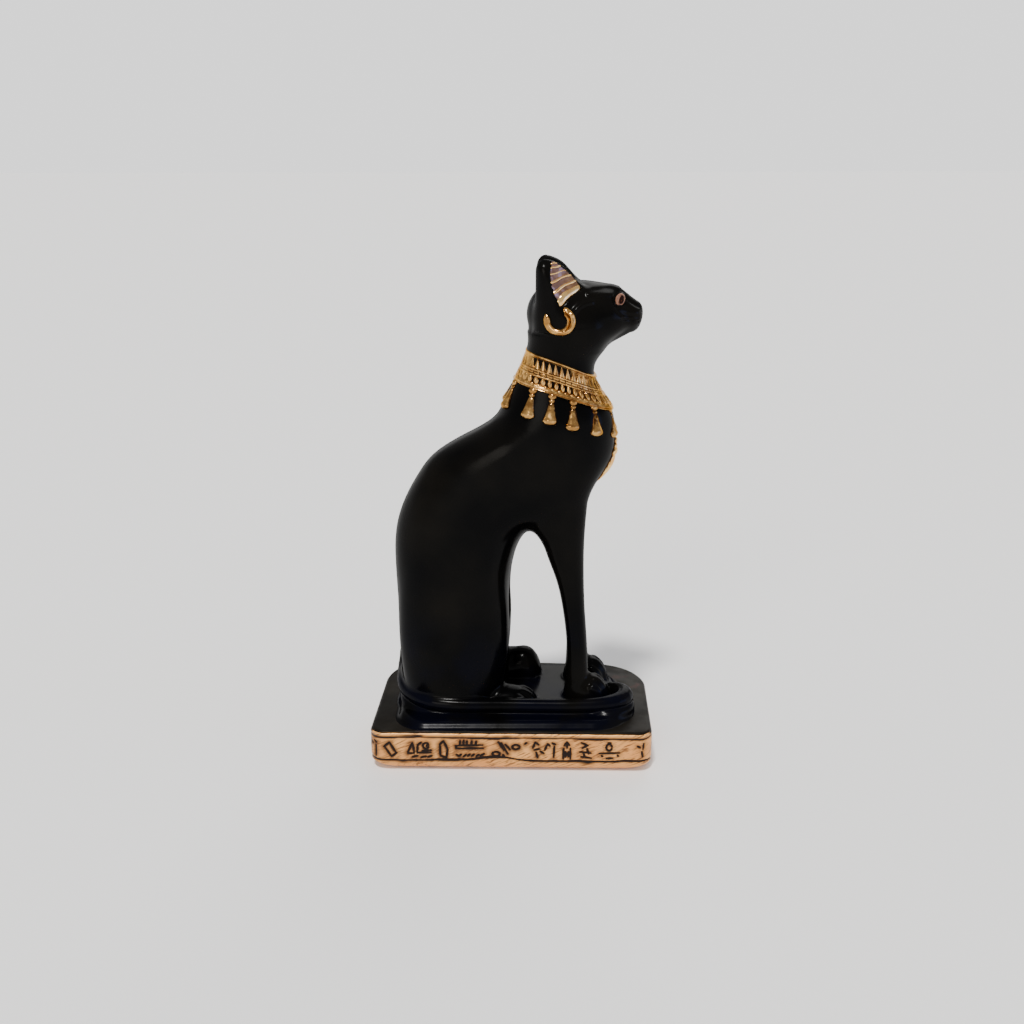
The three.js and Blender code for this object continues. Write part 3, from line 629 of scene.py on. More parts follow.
def surface_along(origins, directions):
    """Where rays from inside the cat come out through its surface."""
    inner = np.zeros(origins.shape[1])
    outer = inner + 0.5
    for _ in range(60):
        under = cat_form(tuple(origins + directions * outer)) < 0
        if not under.any():
            break
        inner = np.where(under, outer, inner)
        outer = np.where(under, outer + 0.5, outer)
    for _ in range(16):
        middle = (inner + outer) / 2
        under = cat_form(tuple(origins + directions * middle)) < 0
        inner = np.where(under, middle, inner)
        outer = np.where(under, outer, middle)
    return origins + directions * outer


def outward_at(point):
    slope = slope_of(cat_form, np.array(point, float).reshape(3, 1))[:, 0]
    return slope / np.linalg.norm(slope)


COLLAR_TOP = {"back": (3.4, 80), "front": (17, 74.9), "lift": 0.8}
COLLAR_FOOT = {"back": (0.6, 73.8), "front": (20.6, 67.75), "lift": 0.5}


def collar_place(turn, fall, rise):
    """A place on the collar: fall runs from 0 at the top rim to 1 at the lower one, turn from the front."""
    turn, fall, rise = (np.atleast_1d(np.asarray(v, float)) for v in (turn, fall, rise))

    def mix(part, k):
        return COLLAR_TOP[part][k] + (COLLAR_FOOT[part][k] - COLLAR_TOP[part][k]) * fall

    lift = (COLLAR_TOP["lift"] + (COLLAR_FOOT["lift"] - COLLAR_TOP["lift"]) * fall) * np.sin(turn) ** 2
    back_x, back_h, front_x, front_h = mix("back", 0), mix("back", 1), mix("front", 0), mix("front", 1)
    middle = np.stack([(back_x + front_x) / 2, 0 * fall, (back_h + front_h) / 2 + lift])
    length = np.hypot(front_x - back_x, front_h - back_h)
    ahead, up = (front_x - back_x) / length, (front_h - back_h) / length
    direction = np.stack([ahead * np.cos(turn), np.sin(turn), up * np.cos(turn)])
    direction = direction / np.linalg.norm(direction, axis=0)
    return surface_along(middle, direction) + direction * rise * MM / SHARE


def on_side(x, h, side):
    """The spot on the cat's side, left (1) or right (-1), at a place in side view."""
    x, h = (np.atleast_1d(np.asarray(v, float)) for v in (x, h))
    origins = np.stack([x, np.full(x.shape, side * 4.0), h])
    return surface_along(origins, np.array((0.0, side, 0.0)).reshape(3, 1) * np.ones(x.shape))


# The workbench: small helpers for modelling by hand


def only(piece):
    """Selects one piece and nothing else."""
    for other in bpy.context.selected_objects:
        other.select_set(False)
    piece.select_set(True)
    bpy.context.view_layer.objects.active = piece


def last_added(name):
    piece = bpy.context.object
    piece.name = name
    return piece


def fix_place(piece):
    """Puts a piece's place, turn and size into its mesh."""
    only(piece)
    bpy.ops.object.transform_apply(location=True, rotation=True, scale=True)
    return piece


def finish_with(piece, kind, **values):
    """Adds a modifier, sets it and applies it."""
    only(piece)
    modifier = piece.modifiers.new(kind.lower(), kind)
    for name, value in values.items():
        setattr(modifier, name, value)
    bpy.ops.object.modifier_apply(modifier=modifier.name)
    return piece


def join(name, parts):
    only(parts[0])
    for part in parts[1:]:
        part.select_set(True)
    bpy.ops.object.join()
    parts[0].name = name
    parts[0].data.name = name
    return parts[0]


def copy_of(piece):
    double = piece.copy()
    double.data = piece.data.copy()
    bpy.context.scene.collection.objects.link(double)
    return double


def face_out(piece, gap=1e-6):
    """Merges doubled points and turns every face outwards."""
    only(piece)
    bpy.ops.object.mode_set(mode="EDIT")
    bpy.ops.mesh.select_all(action="SELECT")
    bpy.ops.mesh.remove_doubles(threshold=gap)
    bpy.ops.mesh.normals_make_consistent(inside=False)
    bpy.ops.object.mode_set(mode="OBJECT")
    return piece


def points_of(piece):
    points = np.empty(len(piece.data.vertices) * 3)
    piece.data.vertices.foreach_get("co", points)
    return points.reshape(-1, 3).T


def move_to(piece, points):
    piece.data.vertices.foreach_set("co", np.ascontiguousarray(points.T).ravel())
    piece.data.update()
    return piece


def place(piece, origin, along, face):
    """Moves a piece made along +Z, with -Y as its face, to a place on the cat given in shares."""
    along = Vector(along).normalized()
    side = along.cross(Vector(face)).normalized()
    back = along.cross(side).normalized()
    turn = Matrix((side, back, along)).transposed().to_4x4()
    start = Vector(to_metres(np.array(origin, float).reshape(3, 1))[:, 0])
    piece.data.transform(Matrix.Translation(start) @ turn)
    return piece


def turned(name, outline, sides):
    """A turned body: a ring drawn up level by level, wider and narrower, and closed at both ends."""
    first_radius, first_level = outline[0]
    bpy.ops.mesh.primitive_circle_add(vertices=sides, radius=first_radius, fill_type="NGON",
                                      location=(0, 0, first_level))
    piece = fix_place(last_added(name))
    bpy.ops.object.mode_set(mode="EDIT")
    bpy.ops.mesh.select_all(action="SELECT")
    radius, level = first_radius, first_level
    for next_radius, next_level in outline[1:]:
        bpy.ops.mesh.extrude_region_move(TRANSFORM_OT_translate={"value": (0, 0, next_level - level)})
        grow = next_radius / radius
        bpy.ops.transform.resize(value=(grow, grow, 1), center_override=(0, 0, next_level))
        radius, level = next_radius, next_level
    bpy.ops.object.mode_set(mode="OBJECT")
    return face_out(piece)


def close_ends(piece):
    """Fills the open rims of a piece with a face each."""
    only(piece)
    bpy.ops.object.mode_set(mode="EDIT")
    bpy.ops.mesh.select_all(action="DESELECT")
    bpy.ops.mesh.select_non_manifold()
    bpy.ops.mesh.edge_face_add()
    bpy.ops.object.mode_set(mode="OBJECT")
    return face_out(piece)


def bisect_at(piece, normal, cuts):
    """Cuts a piece through by planes across one direction, so that it can be bent there."""
    only(piece)
    bpy.ops.object.mode_set(mode="EDIT")
    for cut in cuts:
        bpy.ops.mesh.select_all(action="SELECT")
        bpy.ops.mesh.bisect(plane_co=Vector(normal) * cut, plane_no=normal)
    bpy.ops.object.mode_set(mode="OBJECT")


def select_edges(piece, wanted):
    """Selects the edges whose two ends pass a test; the piece is in object mode before and after."""
    mesh = piece.data
    for part in (mesh.polygons, mesh.edges, mesh.vertices):
        for item in part:
            item.select = False
    for edge in mesh.edges:
        ends = [mesh.vertices[i].co for i in edge.vertices]
        edge.select = wanted(*ends)


def bevel_selected(piece, width, segments):
    only(piece)
    bpy.context.tool_settings.mesh_select_mode = False, True, False
    bpy.ops.object.mode_set(mode="EDIT")
    bpy.ops.mesh.bevel(offset=width, segments=segments, profile=0.5, affect="EDGES", clamp_overlap=False)
    bpy.ops.object.mode_set(mode="OBJECT")


def round_off_top(piece, radius, steps):
    """Raises the top face in steps that each move in and up along a quarter circle."""
    select_edges(piece, lambda a, b: False)
    top = max(piece.data.polygons, key=lambda face: face.center.z)
    top.select = True
    for corner in top.vertices:
        piece.data.vertices[corner].select = True
    only(piece)
    bpy.context.tool_settings.mesh_select_mode = False, False, True
    bpy.ops.object.mode_set(mode="EDIT")
    angles = np.radians(np.linspace(0, 90, steps + 1))
    for low, high in zip(angles, angles[1:]):
        bpy.ops.mesh.inset(thickness=float(radius * (np.cos(low) - np.cos(high))),
                           depth=float(radius * (np.sin(high) - np.sin(low))))
    bpy.ops.object.mode_set(mode="OBJECT")


# Edges that turn less than this are shaded smooth
SMOOTH_TO = math.radians(40)


def finish_piece(piece, material):
    piece.data.materials.clear()
    piece.data.materials.append(material)
    only(piece)
    bpy.ops.object.shade_smooth_by_angle(angle=SMOOTH_TO)
    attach(piece, "root")


# Collar: a band with a rim above and below, and rows of petals and beads between them
# It is modelled flat, as if unrolled, and then laid round the neck

COLLAR_ROUND = 10.4 * MM
COLLAR_FALL = 10.6 * MM
COLLAR_COLUMNS = 38
COLUMN = 2 * math.pi * COLLAR_ROUND / COLLAR_COLUMNS
BAND_RISE = 0.3
# Turns from the front, in radians, between which the relief goes quiet, and how much of it is left
QUIET_TURN = 2.3, 2.55
QUIET_RISE = 0.3
WORN_LIFT = 0.7
# Turns between which the black shows through between the reliefs
BARE_TURN = 1.15, 1.35, 2.35, 2.55

# Levels of the band: fall, rise in mm, and how fully it is gilt
COLLAR_LEVELS = [
    (-0.03, -0.8, 1), (0, 0.45, 1), (0.018, 0.8, 1), (0.045, 0.85, 1), (0.065, 0.65, 1), (0.085, 0.34, 0.4),
    (0.11, BAND_RISE, 0), (0.2, BAND_RISE, 0), (0.3, BAND_RISE, 0), (0.385, BAND_RISE, 0), (0.4, 0.45, 0.8),
    (0.42, 0.68, 1), (0.45, 0.66, 1), (0.475, 0.36, 0.5), (0.515, 0.34, 0.3), (0.55, 0.36, 0.5),
    (0.57, 0.66, 1), (0.6, 0.7, 1), (0.62, 0.45, 0.7), (0.64, BAND_RISE, 0), (0.73, BAND_RISE, 0),
    (0.81, BAND_RISE, 0.1), (0.84, 0.55, 1), (0.865, 0.88, 1), (0.905, 1.02, 1), (0.94, 0.95, 1),
    (0.955, 0.72, 1), (0.968, 0.74, 1), (0.985, 0.86, 1), (1.0, 0.7, 1), (1.012, 0.2, 1), (1.02, -0.8, 1)]


def collar_turn(x):
    """How far round from the front a place of the unrolled collar lies, the same to both sides."""
    return np.abs(np.asarray(x) / COLLAR_ROUND)


def lay_round_neck(piece):
    """Takes a flat, unrolled piece round the neck: along X is round, down Y is the fall, Z is outward.

    The relief goes quiet at the nape, where the mould is worn.
    """
    x, y, z = points_of(piece)
    quiet = np.interp(collar_turn(x), QUIET_TURN, (1, QUIET_RISE))
    rise = np.where(z > 0, z * quiet, z)
    note(piece, "worn", 1 - quiet)
    return move_to(piece, to_metres(collar_place(x / COLLAR_ROUND, -y / COLLAR_FALL, rise / MM)))


def collar_band():
    steps = COLLAR_COLUMNS * 4
    rows = len(COLLAR_LEVELS) - 1
    bpy.ops.mesh.primitive_grid_add(x_subdivisions=steps, y_subdivisions=rows, size=2)
    band = last_added("collar_band")
    x, y, _ = points_of(band)
    row = np.rint((1 - y) / 2 * rows).astype(int)
    fall, rise, gilt = np.array(COLLAR_LEVELS).T
    flat = np.stack([x * math.pi * COLLAR_ROUND, -fall[row] * COLLAR_FALL, rise[row] * MM])
    bare = np.interp(collar_turn(flat[0]), BARE_TURN, (0, 1, 1, 0))
    note(band, "gilt", 1 - bare * (1 - gilt[row]))
    lay_round_neck(move_to(band, flat))
    return close_ends(face_out(band))


def collar_row(name, level, shift, make):
    """One motif, modelled once and repeated all round the unrolled collar."""
    motif = make()
    motif.name = name
    first = -math.pi * COLLAR_ROUND + COLUMN * (0.5 + shift)
    start = np.array((first, -level * COLLAR_FALL, BAND_RISE * MM)).reshape(3, 1)
    move_to(motif, points_of(motif) + start)
    finish_with(motif, "ARRAY", count=COLLAR_COLUMNS, use_relative_offset=False, use_constant_offset=True,
                constant_offset_displace=(COLUMN, 0, 0))
    return lay_round_neck(motif)


# The flame-shaped petals, in mm
PETAL_LENGTH = 3.1
PETAL_ROOT = 0.94
PETAL_TIP = 0.08
PETAL_FLATNESS = 0.62


def upper_petal():
    """A flame-shaped petal lying on the band, its tip under the top rim."""
    bpy.ops.mesh.primitive_cone_add(
        vertices=12, radius1=PETAL_ROOT * MM, radius2=PETAL_TIP * MM, depth=PETAL_LENGTH * MM,
        rotation=(-math.pi / 2, 0, 0))
    petal = fix_place(last_added("petal"))
    bisect_at(petal, (0, 1, 0), [level * MM for level in (-0.7, 0.2, 0.9)])
    x, y, z = points_of(petal)
    belly = 1 - 0.08 * np.sin(math.pi * np.clip(y / MM / PETAL_LENGTH + 0.5, 0, 1))
    return move_to(petal, np.stack([x * belly, y, z * PETAL_FLATNESS]))


def lower_petal():
    """A round petal that hangs with its blunt end down."""
    bpy.ops.mesh.primitive_uv_sphere_add(segments=14, ring_count=8, radius=1 * MM)
    petal = fix_place(last_added("petal"))
    x, y, z = points_of(petal)
    narrow = 0.64 * (1 - 0.2 * np.clip(y / MM, 0, 1) - 0.1 * np.clip(-y / MM, 0, 1))
    return move_to(petal, np.stack([x * narrow, y * 1.3, z * 0.6]))


def bead(width, height, rise):
    """A pillow-shaped bead."""
    bpy.ops.mesh.primitive_cube_add(size=1)
    piece = last_added("bead")
    piece.scale = width * MM, height * MM, rise * 2 * MM
    fix_place(piece)
    return finish_with(piece, "BEVEL", width=min(width, height, rise) * 0.4 * MM, segments=3)


def scallop():
    """A low peak on the lower rim, which fills the gap between two petals."""
    bpy.ops.mesh.primitive_uv_sphere_add(segments=12, ring_count=8, radius=1 * MM)
    piece = fix_place(last_added("scallop"))
    x, y, z = points_of(piece)
    narrow = 0.8 - 0.55 * np.clip(y / MM, 0, 1)
    return move_to(piece, np.stack([x * narrow, y * 0.75, z * 0.7]))


# Rows of the collar from the top: level down the fall, shift round by shares of a column, and motif
COLLAR_ROWS = {
    "petals_upper": (0.245, 0, upper_petal),
    "beads_upper": (0.44, 0, lambda: bead(1.56, 0.62, 0.46)),
    "beads_middle": (0.513, 0, lambda: bead(1.4, 0.62, 0.3)),
    "beads_lower": (0.588, 0, lambda: bead(1.58, 0.62, 0.52)),
    "petals_lower": (0.725, 0, lower_petal),
    "scallops": (0.865, 0.5, scallop),
}


def make_collar(gilding, bare_gilding):
    finish_piece(mark_lift(collar_band()), bare_gilding)
    rows = [collar_row(name, *row) for name, row in COLLAR_ROWS.items()]
    finish_piece(mark_lift(join("collar_relief", rows)), gilding)


def mark_lift(piece):
    """Notes how far each point stands above the cat's surface, in mm, for the dark wash and the painted
    shade in the recesses.
    """
    lift = cat_form(tuple(to_shares(points_of(piece)))) * SHARE / MM
    if "worn" in piece.data.attributes:
        worn = np.empty(len(lift), np.float32)
        piece.data.attributes["worn"].data.foreach_get("value", worn)
        lift += WORN_LIFT * worn
    note(piece, "lift", lift)
    return piece


# Tassels: a ring, a bead and a bell, twelve round the collar's foot

# How far round from the front each hangs, in degrees, and how far its foot is drawn back
TASSELS = (15, -0.33), (45, -0.75), (75, -0.35), (105, -0.13), (131, -0.02), (163, -0.1)
TASSEL_LENGTH = 9.2 * MM
TASSEL_FLATNESS = 0.66
TASSEL_SIDES = 30
TASSEL_PLEATS = 10
BELL_TOP = 6.4
TASSEL_OUTLINE = [
    (0.3, 0), (0.95, 0.08), (1.5, 0.3), (1.95, 0.68), (2.18, 1.05), (2.12, 1.45), (1.86, 2.15), (1.58, 3),
    (1.36, 3.9), (1.18, 4.8), (1.02, 5.6), (0.88, 6.1), (0.62, BELL_TOP), (0.75, 6.6), (0.96, 6.85),
    (0.94, 7.15), (0.66, 7.4), (0.8, 7.6), (1.16, 7.85), (1.3, 8.25), (1.22, 8.7), (0.9, 9.05),
    (0.35, 9.25)]


def tassel():
    outline = [(radius * MM, level * MM) for radius, level in TASSEL_OUTLINE]
    piece = turned("tassel", outline, TASSEL_SIDES)
    x, y, z = points_of(piece)
    pleat = 0.035 * np.cos(TASSEL_PLEATS * np.arctan2(y, x)) * np.clip(BELL_TOP - z / MM, 0, 1)
    return move_to(piece, np.stack([x * (1 + pleat), y * (1 + pleat) * TASSEL_FLATNESS, z]))


def make_tassels(gilding):
    model = tassel()
    copies = []
    for side, (degrees, lean) in [(side, hung) for side in (-1, 1) for hung in TASSELS]:
        turn = math.radians(side * degrees)
        top = collar_place(turn, 0.97, 0)
        aim = collar_place(turn, 1.25, 0)
        aim[0] += lean * math.sin(turn) ** 2
        end = seat(cat_form, aim, TASSEL_LENGTH / SHARE)
        along = (top - end) / np.linalg.norm(top - end)
        foot = seat(cat_form, top - along * TASSEL_LENGTH / SHARE, TASSEL_LENGTH / SHARE)
        copy = copy_of(model)
        face = outward_at((top[:, 0] + foot[:, 0]) / 2)
        copies.append(place(copy, foot[:, 0], top[:, 0] - foot[:, 0], face))
    bpy.data.objects.remove(model)
    finish_piece(mark_lift(join("tassels", copies)), gilding)


# Earrings: open rings in relief below the ears, thick and split in two strands towards the face

EARRING_PLACE = 9.75, 87.1
EARRING_RADIUS = 3.62 * MM / SHARE
EARRING_DROP = 0.9
EARRING_TUBE = 0.95 * MM / SHARE
EARRING_START = math.radians(74)
EARRING_SPAN = math.radians(282)
EARRING_STEPS = 56
EARRING_FLATNESS = 0.85
EARRING_OUT = 0.2 * MM / SHARE
# How thick the ring is, and how clear the groove between its strands, at shares of its length
EARRING_SWELL = (
    (0, 0.5), (0.02, 1), (0.07, 1.35), (0.3, 1.4), (0.5, 1.2), (0.7, 1.12), (0.92, 1.02), (0.97, 0.85),
    (1, 0.35))
EARRING_SPLIT = (0.03, 0.4), (0.1, 1), (0.4, 1), (0.55, 0)
EARRING_SPLIT_DEPTH = 0.9


def earring(side):
    bpy.ops.mesh.primitive_circle_add(vertices=28, radius=1)
    ring = last_added("earring")
    finish_with(ring, "SCREW", angle=0, screw_offset=1, steps=EARRING_STEPS, render_steps=EARRING_STEPS)
    u, v, along = points_of(ring)
    along = along / along.max()
    angle = EARRING_START - EARRING_SPAN * along
    tube = EARRING_TUBE * np.interp(along, *zip(*EARRING_SWELL))
    middle = EARRING_RADIUS + EARRING_TUBE - tube
    split = EARRING_SPLIT_DEPTH * np.exp(-((u + 0.25) / 0.2) ** 2) * np.interp(along, *zip(*EARRING_SPLIT))
    x = EARRING_PLACE[0] + np.cos(angle) * (middle + u * tube)
    h = EARRING_PLACE[1] + np.sin(angle) * (middle + u * tube) * EARRING_DROP
    base = on_side(x, h, side)
    base[1] += side * (v * (1 - split) * tube * EARRING_FLATNESS + EARRING_OUT)
    return close_ends(move_to(ring, to_metres(base)))


def make_earrings(gilding):
    finish_piece(mark_lift(join("earrings", [earring(-1), earring(1)])), gilding)


# Ear panels: enamel set in the hollow of each ear, crossed by raised gold lines

# Gold lines over the enamel: how far up, how high in mm, and how thick
PANEL_LINES = [
    (0.085, 0.5, 1), (0.26, 0.3, 0.42), (0.44, 0.28, 0.4), (0.6, 0.12, 0.24), (0.76, 0.26, 0.38),
    (0.9, 0.22, 0.36)]
LINE_SAG = -0.25
PANEL_BED = -0.7
ENAMEL_HALF = 0.42
PANEL_WIDTH = 0.975
PANEL_LENGTH = 0.97


def ear_place(across, up, rise, side):
    """A place on the flat of an ear: across from its back edge to its front, up from foot to tip."""
    back = bowed(HOLLOW_FOOT, HOLLOW_BACK_BULGE, HOLLOW_TIP, up)
    front = bowed(HOLLOW_FRONT, HOLLOW_FRONT_BULGE, HOLLOW_TIP, up)
    sag = 4 * across * (1 - across) * LINE_SAG * (1 - up)
    x = back[0] + (front[0] - back[0]) * across + sag * 0.6
    h = back[1] + (front[1] - back[1]) * across - sag * 0.6
    normal = EAR_FLAT_NORMAL
    y = (normal @ EAR_FLAT_POINT - normal[0] * x - normal[2] * h) / normal[1]
    lift = rise * MM / SHARE
    return np.stack([x + normal[0] * lift, side * (y + normal[1] * lift), h + normal[2] * lift])


def enamel_height(across, up):
    """How high the enamel stands over the flat, in mm; it is filled a little higher along the middle."""
    crown = 0.3 * (1 - (2 * across - 1) ** 4) * np.clip((1 - up) * 4, 0, 1)
    return PANEL_BED + crown + 0.05 * np.sin(up * 40 + across * 3)


def ear_panel(side):
    bpy.ops.mesh.primitive_grid_add(x_subdivisions=20, y_subdivisions=48, size=2)
    panel = last_added("ear_panel")
    finish_with(panel, "SOLIDIFY", thickness=0.8, offset=0)
    x, y, z = points_of(panel)
    across = 1 - (1 - x) / 2 * PANEL_WIDTH
    up = (y + 1) / 2
    spots = ear_place(across, up * PANEL_LENGTH, z + enamel_height(across, up), side)
    return face_out(move_to(panel, to_metres(spots)))


def ear_lines(side):
    lines = []
    for level, rise, thick in PANEL_LINES:
        bpy.ops.mesh.primitive_cylinder_add(vertices=12, radius=1, depth=2, rotation=(0, math.pi / 2, 0))
        line = fix_place(last_added("ear_line"))
        bisect_at(line, (1, 0, 0), (-0.9, -0.7, -0.4, 0, 0.4, 0.7, 0.9))
        x, y, z = points_of(line)
        across = 0.5 + x * 0.49
        taper = 1 - 0.45 * np.abs(x) ** 6
        waver = 0.012 * np.sin(x * 4 + level * 30)
        up = level + waver + y * thick * taper * 0.075
        height = enamel_height(across, level) + ENAMEL_HALF + z * rise * taper
        move_to(line, to_metres(ear_place(across, up, height, side)))
        lines.append(face_out(line))
    return join("ear_lines", lines)


def make_ears(enamel, gilding):
    finish_piece(join("ear_panels", [ear_panel(-1), ear_panel(1)]), enamel)
    lines = join("ear_lines", [ear_lines(-1), ear_lines(1)])
    x, y, h = to_shares(points_of(lines))
    note(lines, "lift", flat_distance((x, y, h)) * SHARE / MM + 1)
    finish_piece(lines, gilding)


# Eyes: a domed button with a raised rim and an upright pupil

EYE_RADIUS = 1.78 * MM
EYE_BALL_RADIUS = EYE_RADIUS * 0.93
EYE_RIM_RADIUS = EYE_RADIUS * 0.2
EYE_DOME = 0.34
EYE_RIM_DEPTH = 0.9
EYE_RIM_OUT = 0.16 * MM
PUPIL_WIDTH = 0.5
PUPIL_HEIGHT = 0.68
PUPIL_DOME = 0.14
PUPIL_LEAN = 0.06
PUPIL_FORWARD = 0.1 * MM
PUPIL_OUT = 0.62 * MM


def eye_parts():
    bpy.ops.mesh.primitive_uv_sphere_add(segments=28, ring_count=14, radius=EYE_BALL_RADIUS)
    ball = fix_place(last_added("eye_ball"))
    x, y, z = points_of(ball)
    move_to(ball, np.stack([x, y * EYE_DOME, z]))
    bpy.ops.mesh.primitive_torus_add(
        major_radius=EYE_RADIUS - EYE_RIM_RADIUS, minor_radius=EYE_RIM_RADIUS, major_segments=36,
        minor_segments=12, rotation=(math.pi / 2, 0, 0))
    rim = fix_place(last_added("eye_rim"))
    x, y, z = points_of(rim)
    turn = np.arctan2(z, x)
    uneven = 1 + 0.03 * np.sin(2 * turn + 0.6) + 0.02 * np.sin(5 * turn)
    move_to(rim, np.stack([x * uneven, y * EYE_RIM_DEPTH - EYE_RIM_OUT, z * uneven]))
    bpy.ops.mesh.primitive_uv_sphere_add(segments=20, ring_count=10, radius=EYE_RADIUS)
    pupil = fix_place(last_added("eye_pupil"))
    x, y, z = points_of(pupil)
    ahead = x * PUPIL_WIDTH + z * PUPIL_LEAN + PUPIL_FORWARD
    move_to(pupil, np.stack([ahead, y * PUPIL_DOME - PUPIL_OUT, z * PUPIL_HEIGHT]))
    return ball, rim, pupil


def make_eyes(eye_paint, pupil_paint):
    paint, pupils = [], []
    for side in (-1, 1):
        spot = on_side(*EYE_PLACE, side)[:, 0]
        face = outward_at(spot)
        ball, rim, pupil = (place(part, spot, (0.12, 0, 1), face) for part in eye_parts())
        paint += [ball, rim]
        pupils.append(pupil)
    finish_piece(join("eyes", paint), eye_paint)
    finish_piece(join("pupils", pupils), pupil_paint)


# Pectoral on the chest: a beetle with its head, and a round disc above

PECTORAL_PLACE = 56.4
PECTORAL_WIDTH = 8.4


def pectoral_part(name, drop, width, height, rise):
    bpy.ops.mesh.primitive_uv_sphere_add(segments=32, ring_count=16, radius=0.5 * MM)
    part = fix_place(last_added(name))
    x, y, z = points_of(part)
    x, y, z = x * width, y * 2 * rise, z * height + drop * MM
    h = PECTORAL_PLACE + z / SHARE
    origins = np.stack([np.full(x.shape, 8.0), x / SHARE, h])
    ahead = np.array((1.0, 0, 0)).reshape(3, 1) * np.ones(x.shape)
    front = surface_along(origins, ahead)
    front[0] += -y / SHARE
    return move_to(part, to_metres(front))


def make_pectoral(gilding):
    parts = [
        pectoral_part("back_shell", -2.5, PECTORAL_WIDTH, 10.4, 1.5),
        pectoral_part("shield", 2.4, PECTORAL_WIDTH * 0.84, 3, 1.35),
        pectoral_part("beetle_head", 4.1, PECTORAL_WIDTH * 0.5, 2.2, 1.0),
        pectoral_part("disc", 5.6, 2.6, 2.4, 0.9),
    ]
    finish_piece(mark_lift(join("pectoral", [face_out(part) for part in parts])), gilding)


# Plinth: a low block, black on top, with a painted band round its sides
# The band is worked out flat, as if unrolled, and then laid round the block

PLINTH_BACK_DEPTH = 54.0
PLINTH_FRONT_DEPTH = 50.8
RIGHT_CORNER = 4.4
LEFT_CORNER = 16.0
FOOT_INSET = 4.8
FOOT_RIGHT_CORNER = 15
FOOT_LEFT_CORNER = 19
ARC_STEPS = 40
BAND_TOP = PLINTH_HEIGHT / MM
UPPER_LINE = BAND_TOP - 1.8
LOWER_LINE = 3.7
LOWER_BUMP = 0.9
LOWER_BUMP_PLACE = 38
LOWER_BUMP_REACH = 7
LINE_WIDTH = 1
BAND_STEP = 0.2
FOOT_TOP = 3.4
LIP_FOOT = BAND_TOP - 1.9

# Levels of the band's foot and lip, in mm: height, and the way to the foot's outline or the inset
FOOT_LEVELS = [
    (0, 2.4), (0, 1), (0.1, 0.7), (0.4, 0.47), (0.9, 0.28), (1.5, 0.147), (2.2, 0.06), (3, 0.01),
    (FOOT_TOP, 0)]
LIP_LEVELS = [
    (LIP_FOOT, 0), (BAND_TOP - 1.2, 0.02), (BAND_TOP - 0.85, 0.1), (BAND_TOP - 0.62, 0.3),
    (BAND_TOP - 0.56, 0.6), (BAND_TOP - 0.7, 1.3), (BAND_TOP - 1.6, 6.5)]


def plinth_plan(inset=0, right_radius=RIGHT_CORNER, left_radius=LEFT_CORNER):
    """The plinth's outline from above, in mm: stretches of line and arc, from the middle of the back."""
    half = FIGURE_LENGTH / 2 - inset
    back, front = PLINTH_BACK_DEPTH / 2 - inset, PLINTH_FRONT_DEPTH / 2 - inset
    corners = [
        (-half, back, left_radius), (-half, -back, right_radius), (half, -front, right_radius),
        (half, front, left_radius)]
    points, normals = [], []
    for i, (x, y, radius) in enumerate(corners):
        corner = np.array((x, y))
        before = np.array(corners[i - 1][:2]) - corner
        after = np.array(corners[(i + 1) % 4][:2]) - corner
        before, after = before / np.linalg.norm(before), after / np.linalg.norm(after)
        half_turn = math.acos(before @ after) / 2
        middle = corner + (before + after) / np.linalg.norm(before + after) * radius / math.sin(half_turn)
        start = corner + before * radius / math.tan(half_turn) - middle
        sweep = math.pi - 2 * half_turn
        for angle in np.linspace(0, sweep, ARC_STEPS):
            turn = np.array(((math.cos(angle), -math.sin(angle)), (math.sin(angle), math.cos(angle))))
            spoke = turn @ start
            points.append(middle + spoke)
            normals.append(spoke / radius)
    order = list(range(len(points))) + [0]
    points, normals = np.array(points)[order], np.array(normals)[order]
    walked = np.concatenate([[0], np.cumsum(np.linalg.norm(np.diff(points, axis=0), axis=1))])
    return walked, points, normals


def side_start(walked):
    """How far along the walk round the plinth the photographed side starts."""
    return walked[2 * ARC_STEPS - 1] - RIGHT_CORNER


def at_walk(walk, walked, line):
    """A row of places or directions, read off after a walk of so many mm along the outline."""
    return np.stack([np.interp(walk, walked, line[:, k]) for k in (0, 1)])


# Marks for the band: short strokes in a box one high, none of them a letter


def lens(x, h, wide, high):
    """A flat loop that stays open at its end."""
    turns = np.linspace(0.25, 2 * math.pi - 0.35, 10)
    return [(x + wide * math.cos(turn), h + high * math.sin(turn)) for turn in turns]


